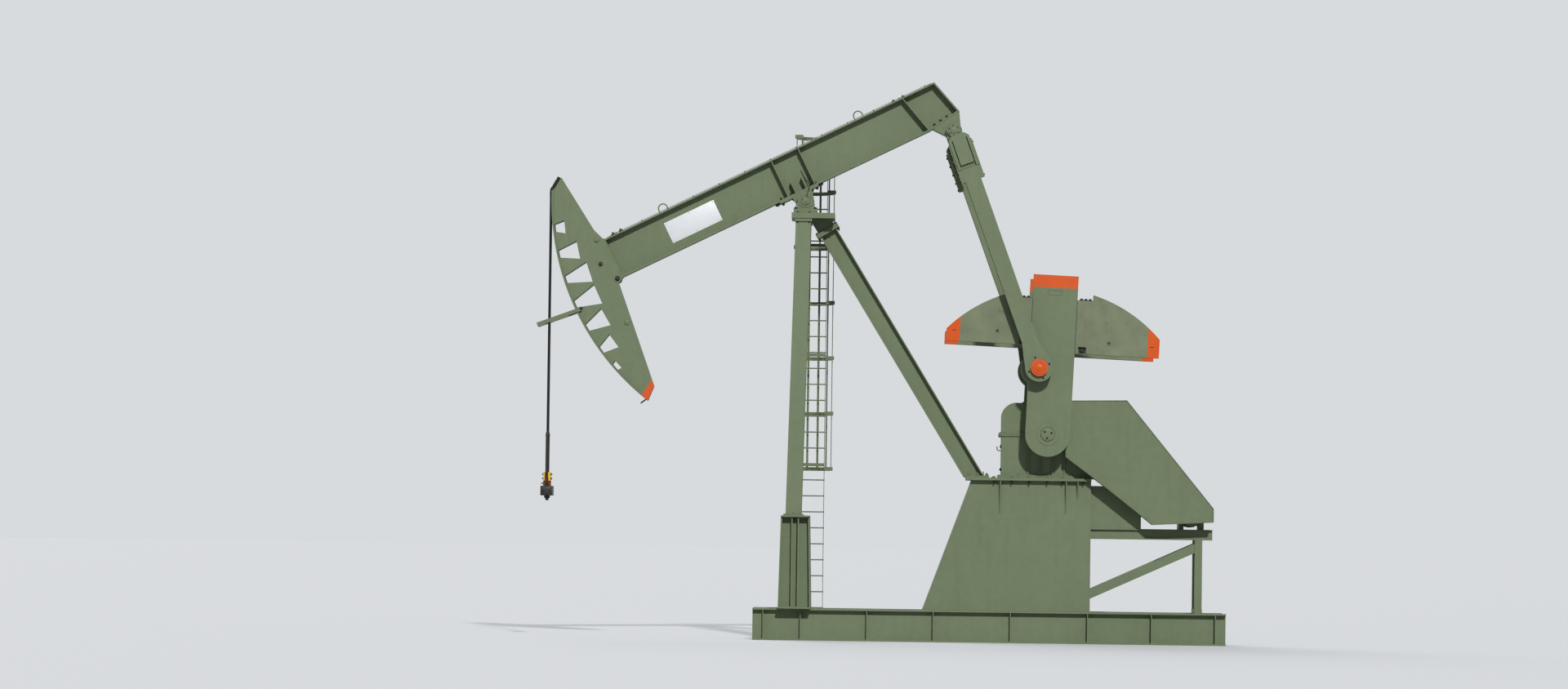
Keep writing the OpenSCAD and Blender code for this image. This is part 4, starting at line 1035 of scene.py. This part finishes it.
def make_hanger_fittings():
    low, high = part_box("bridle_ropes")
    bottom, top = low[2], high[2]
    ropes = Piece("stranded_ropes", "hanger", "wire_rope")
    for y in (-ROPE_Y, ROPE_Y):
        for k in range(6):
            ropes.tube(strand(y, bottom - 0.002, top, k * pi / 3), 0.0058, 6)
        ropes.tube([(ROPE_X, y, bottom - 0.002), (ROPE_X, y, top)], 0.0070, 8)
    made = ropes.done()
    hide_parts("bridle_ropes")
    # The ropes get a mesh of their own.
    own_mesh(made)
    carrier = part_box("carrier_bar")
    floor, deck = carrier[0][2], carrier[1][2]
    sockets = Piece("socket_necks", "hanger", "dark_steel")
    for y in (-ROPE_Y, ROPE_Y):
        sockets.turn((ROPE_X, y, bottom - 0.05), UP,
                     [(0, 0.030), (0.05, 0.030), (0.075, 0.024), (0.10, 0.0165)], 20)
        sockets.turn((ROPE_X, y, deck), UP, [(0, 0.046), (0.05, 0.046), (0.056, 0.040)], 6)
        sockets.turn((ROPE_X, y, deck + 0.055), UP, [(0, 0.034), (0.08, 0.034), (0.10, 0.028)], 20)
        sockets.turn((ROPE_X, y, floor), DOWN, [(0, 0.046), (0.045, 0.046), (0.05, 0.040)], 6)
        sockets.turn((ROPE_X, y, floor - 0.05), DOWN, [(0, 0.022), (0.04, 0.020)], 16)
    sockets.done()
    bar = Piece("carrier_bar_fittings", "hanger", "dark_steel")
    for side in (-1, 1):
        bar.box((ROPE_X - 0.10, side * 0.318, floor + 0.01),
                (ROPE_X + 0.10, side * 0.332, deck - 0.01), 0.004)
        bar.bolts([(ROPE_X + dx, side * 0.332, floor + 0.09) for dx in (-0.06, 0.06)], (0, side, 0), 0.016)
    bar.done()
    cell = Piece("load_cell_rims", "hanger", "red_paint")
    for z in (deck + 0.008, deck + 0.080):
        cell.ring((ROPE_X, 0, z), UP, 0.074, 0.079, 0.012, 36)
    cell.turn((ROPE_X - 0.07, 0, deck + 0.05), AHEAD,
              [(0, 0.014), (0.035, 0.014), (0.037, 0.009), (0.05, 0.009)], 12)
    cell.done()
    clamp = Piece("rod_clamp_bolts", "hanger", "dark_steel")
    for y in (-0.075, 0.075):
        for z in (deck + 0.14, deck + 0.22):
            clamp.bolt((ROPE_X - 0.07, y, z), AHEAD, 0.018)
            clamp.bolt((ROPE_X + 0.07, y, z), BACK, 0.018)
    for side in (-1, 1):
        clamp.box((ROPE_X - 0.0015, side * 0.1085, deck + 0.10),
                  (ROPE_X + 0.0015, side * 0.1115, deck + 0.26))
    clamp.done()


make_post_fittings()
make_pedestal_fittings()
make_ladder_fittings()
make_gearbox_fittings()
make_guard_fittings()
make_motor_fittings()
make_brake_fittings()
make_beam_fittings()
make_head_fittings()
make_pitman_fittings()
make_crank_fittings()
make_hanger_fittings()


def make_light():
    for name, (turn, height, energy, angle) in SUNS.items():
        sun = bpy.data.objects.new(name, bpy.data.lights.new(name, "SUN"))
        bpy.context.scene.collection.objects.link(sun)
        sun.data.energy = energy
        sun.data.angle = radians(angle)
        turn, height = radians(turn), radians(height)
        toward = Vector((cos(height) * sin(turn), -cos(height) * cos(turn), sin(height)))
        sun.rotation_mode = "QUATERNION"
        sun.rotation_quaternion = toward.to_track_quat("Z", "Y")
    world = bpy.data.worlds.new("world")
    bpy.context.scene.world = world
    world.use_nodes = True
    sky = Nodes(world.node_tree)
    rays = sky.node("ShaderNodeLightPath").outputs
    seen = sky.math("MAXIMUM", rays["Is Camera Ray"], rays["Is Glossy Ray"])
    ambient, backdrop = [sky.node("ShaderNodeBackground", Color=colour, Strength=strength).outputs[0]
                         for colour, strength in (AMBIENT, BACKDROP)]
    mixed = sky.node("ShaderNodeMixShader", i0=seen, i1=ambient, i2=backdrop)
    sky.node("ShaderNodeOutputWorld", Surface=mixed.outputs[0])


def make_floor():
    """A pale floor as wide as the view, which glows a little to the camera so that it meets the backdrop."""
    corners = [(x, y, 0) for x, y in ((-FLOOR, -FLOOR), (FLOOR, -FLOOR), (FLOOR, FLOOR), (-FLOOR, FLOOR))]
    mesh = bpy.data.meshes.new("floor")
    mesh.from_pydata(corners, [], [(0, 1, 2, 3)])
    floor = bpy.data.objects.new("floor", mesh)
    bpy.context.scene.collection.objects.link(floor)
    look = Look("floor")
    seen = look.node("ShaderNodeLightPath").outputs["Is Camera Ray"]
    glow = look.blend(seen, (0.0, 0.0, 0.0), (0.165, 0.170, 0.175))
    look.set(Base_Color=(0.50, 0.505, 0.51), Roughness=0.95, Emission_Color=glow, Emission_Strength=1.0)
    mesh.materials.append(look.material)


make_light()
make_floor()

bpy.context.scene.view_settings.view_transform = "Standard"
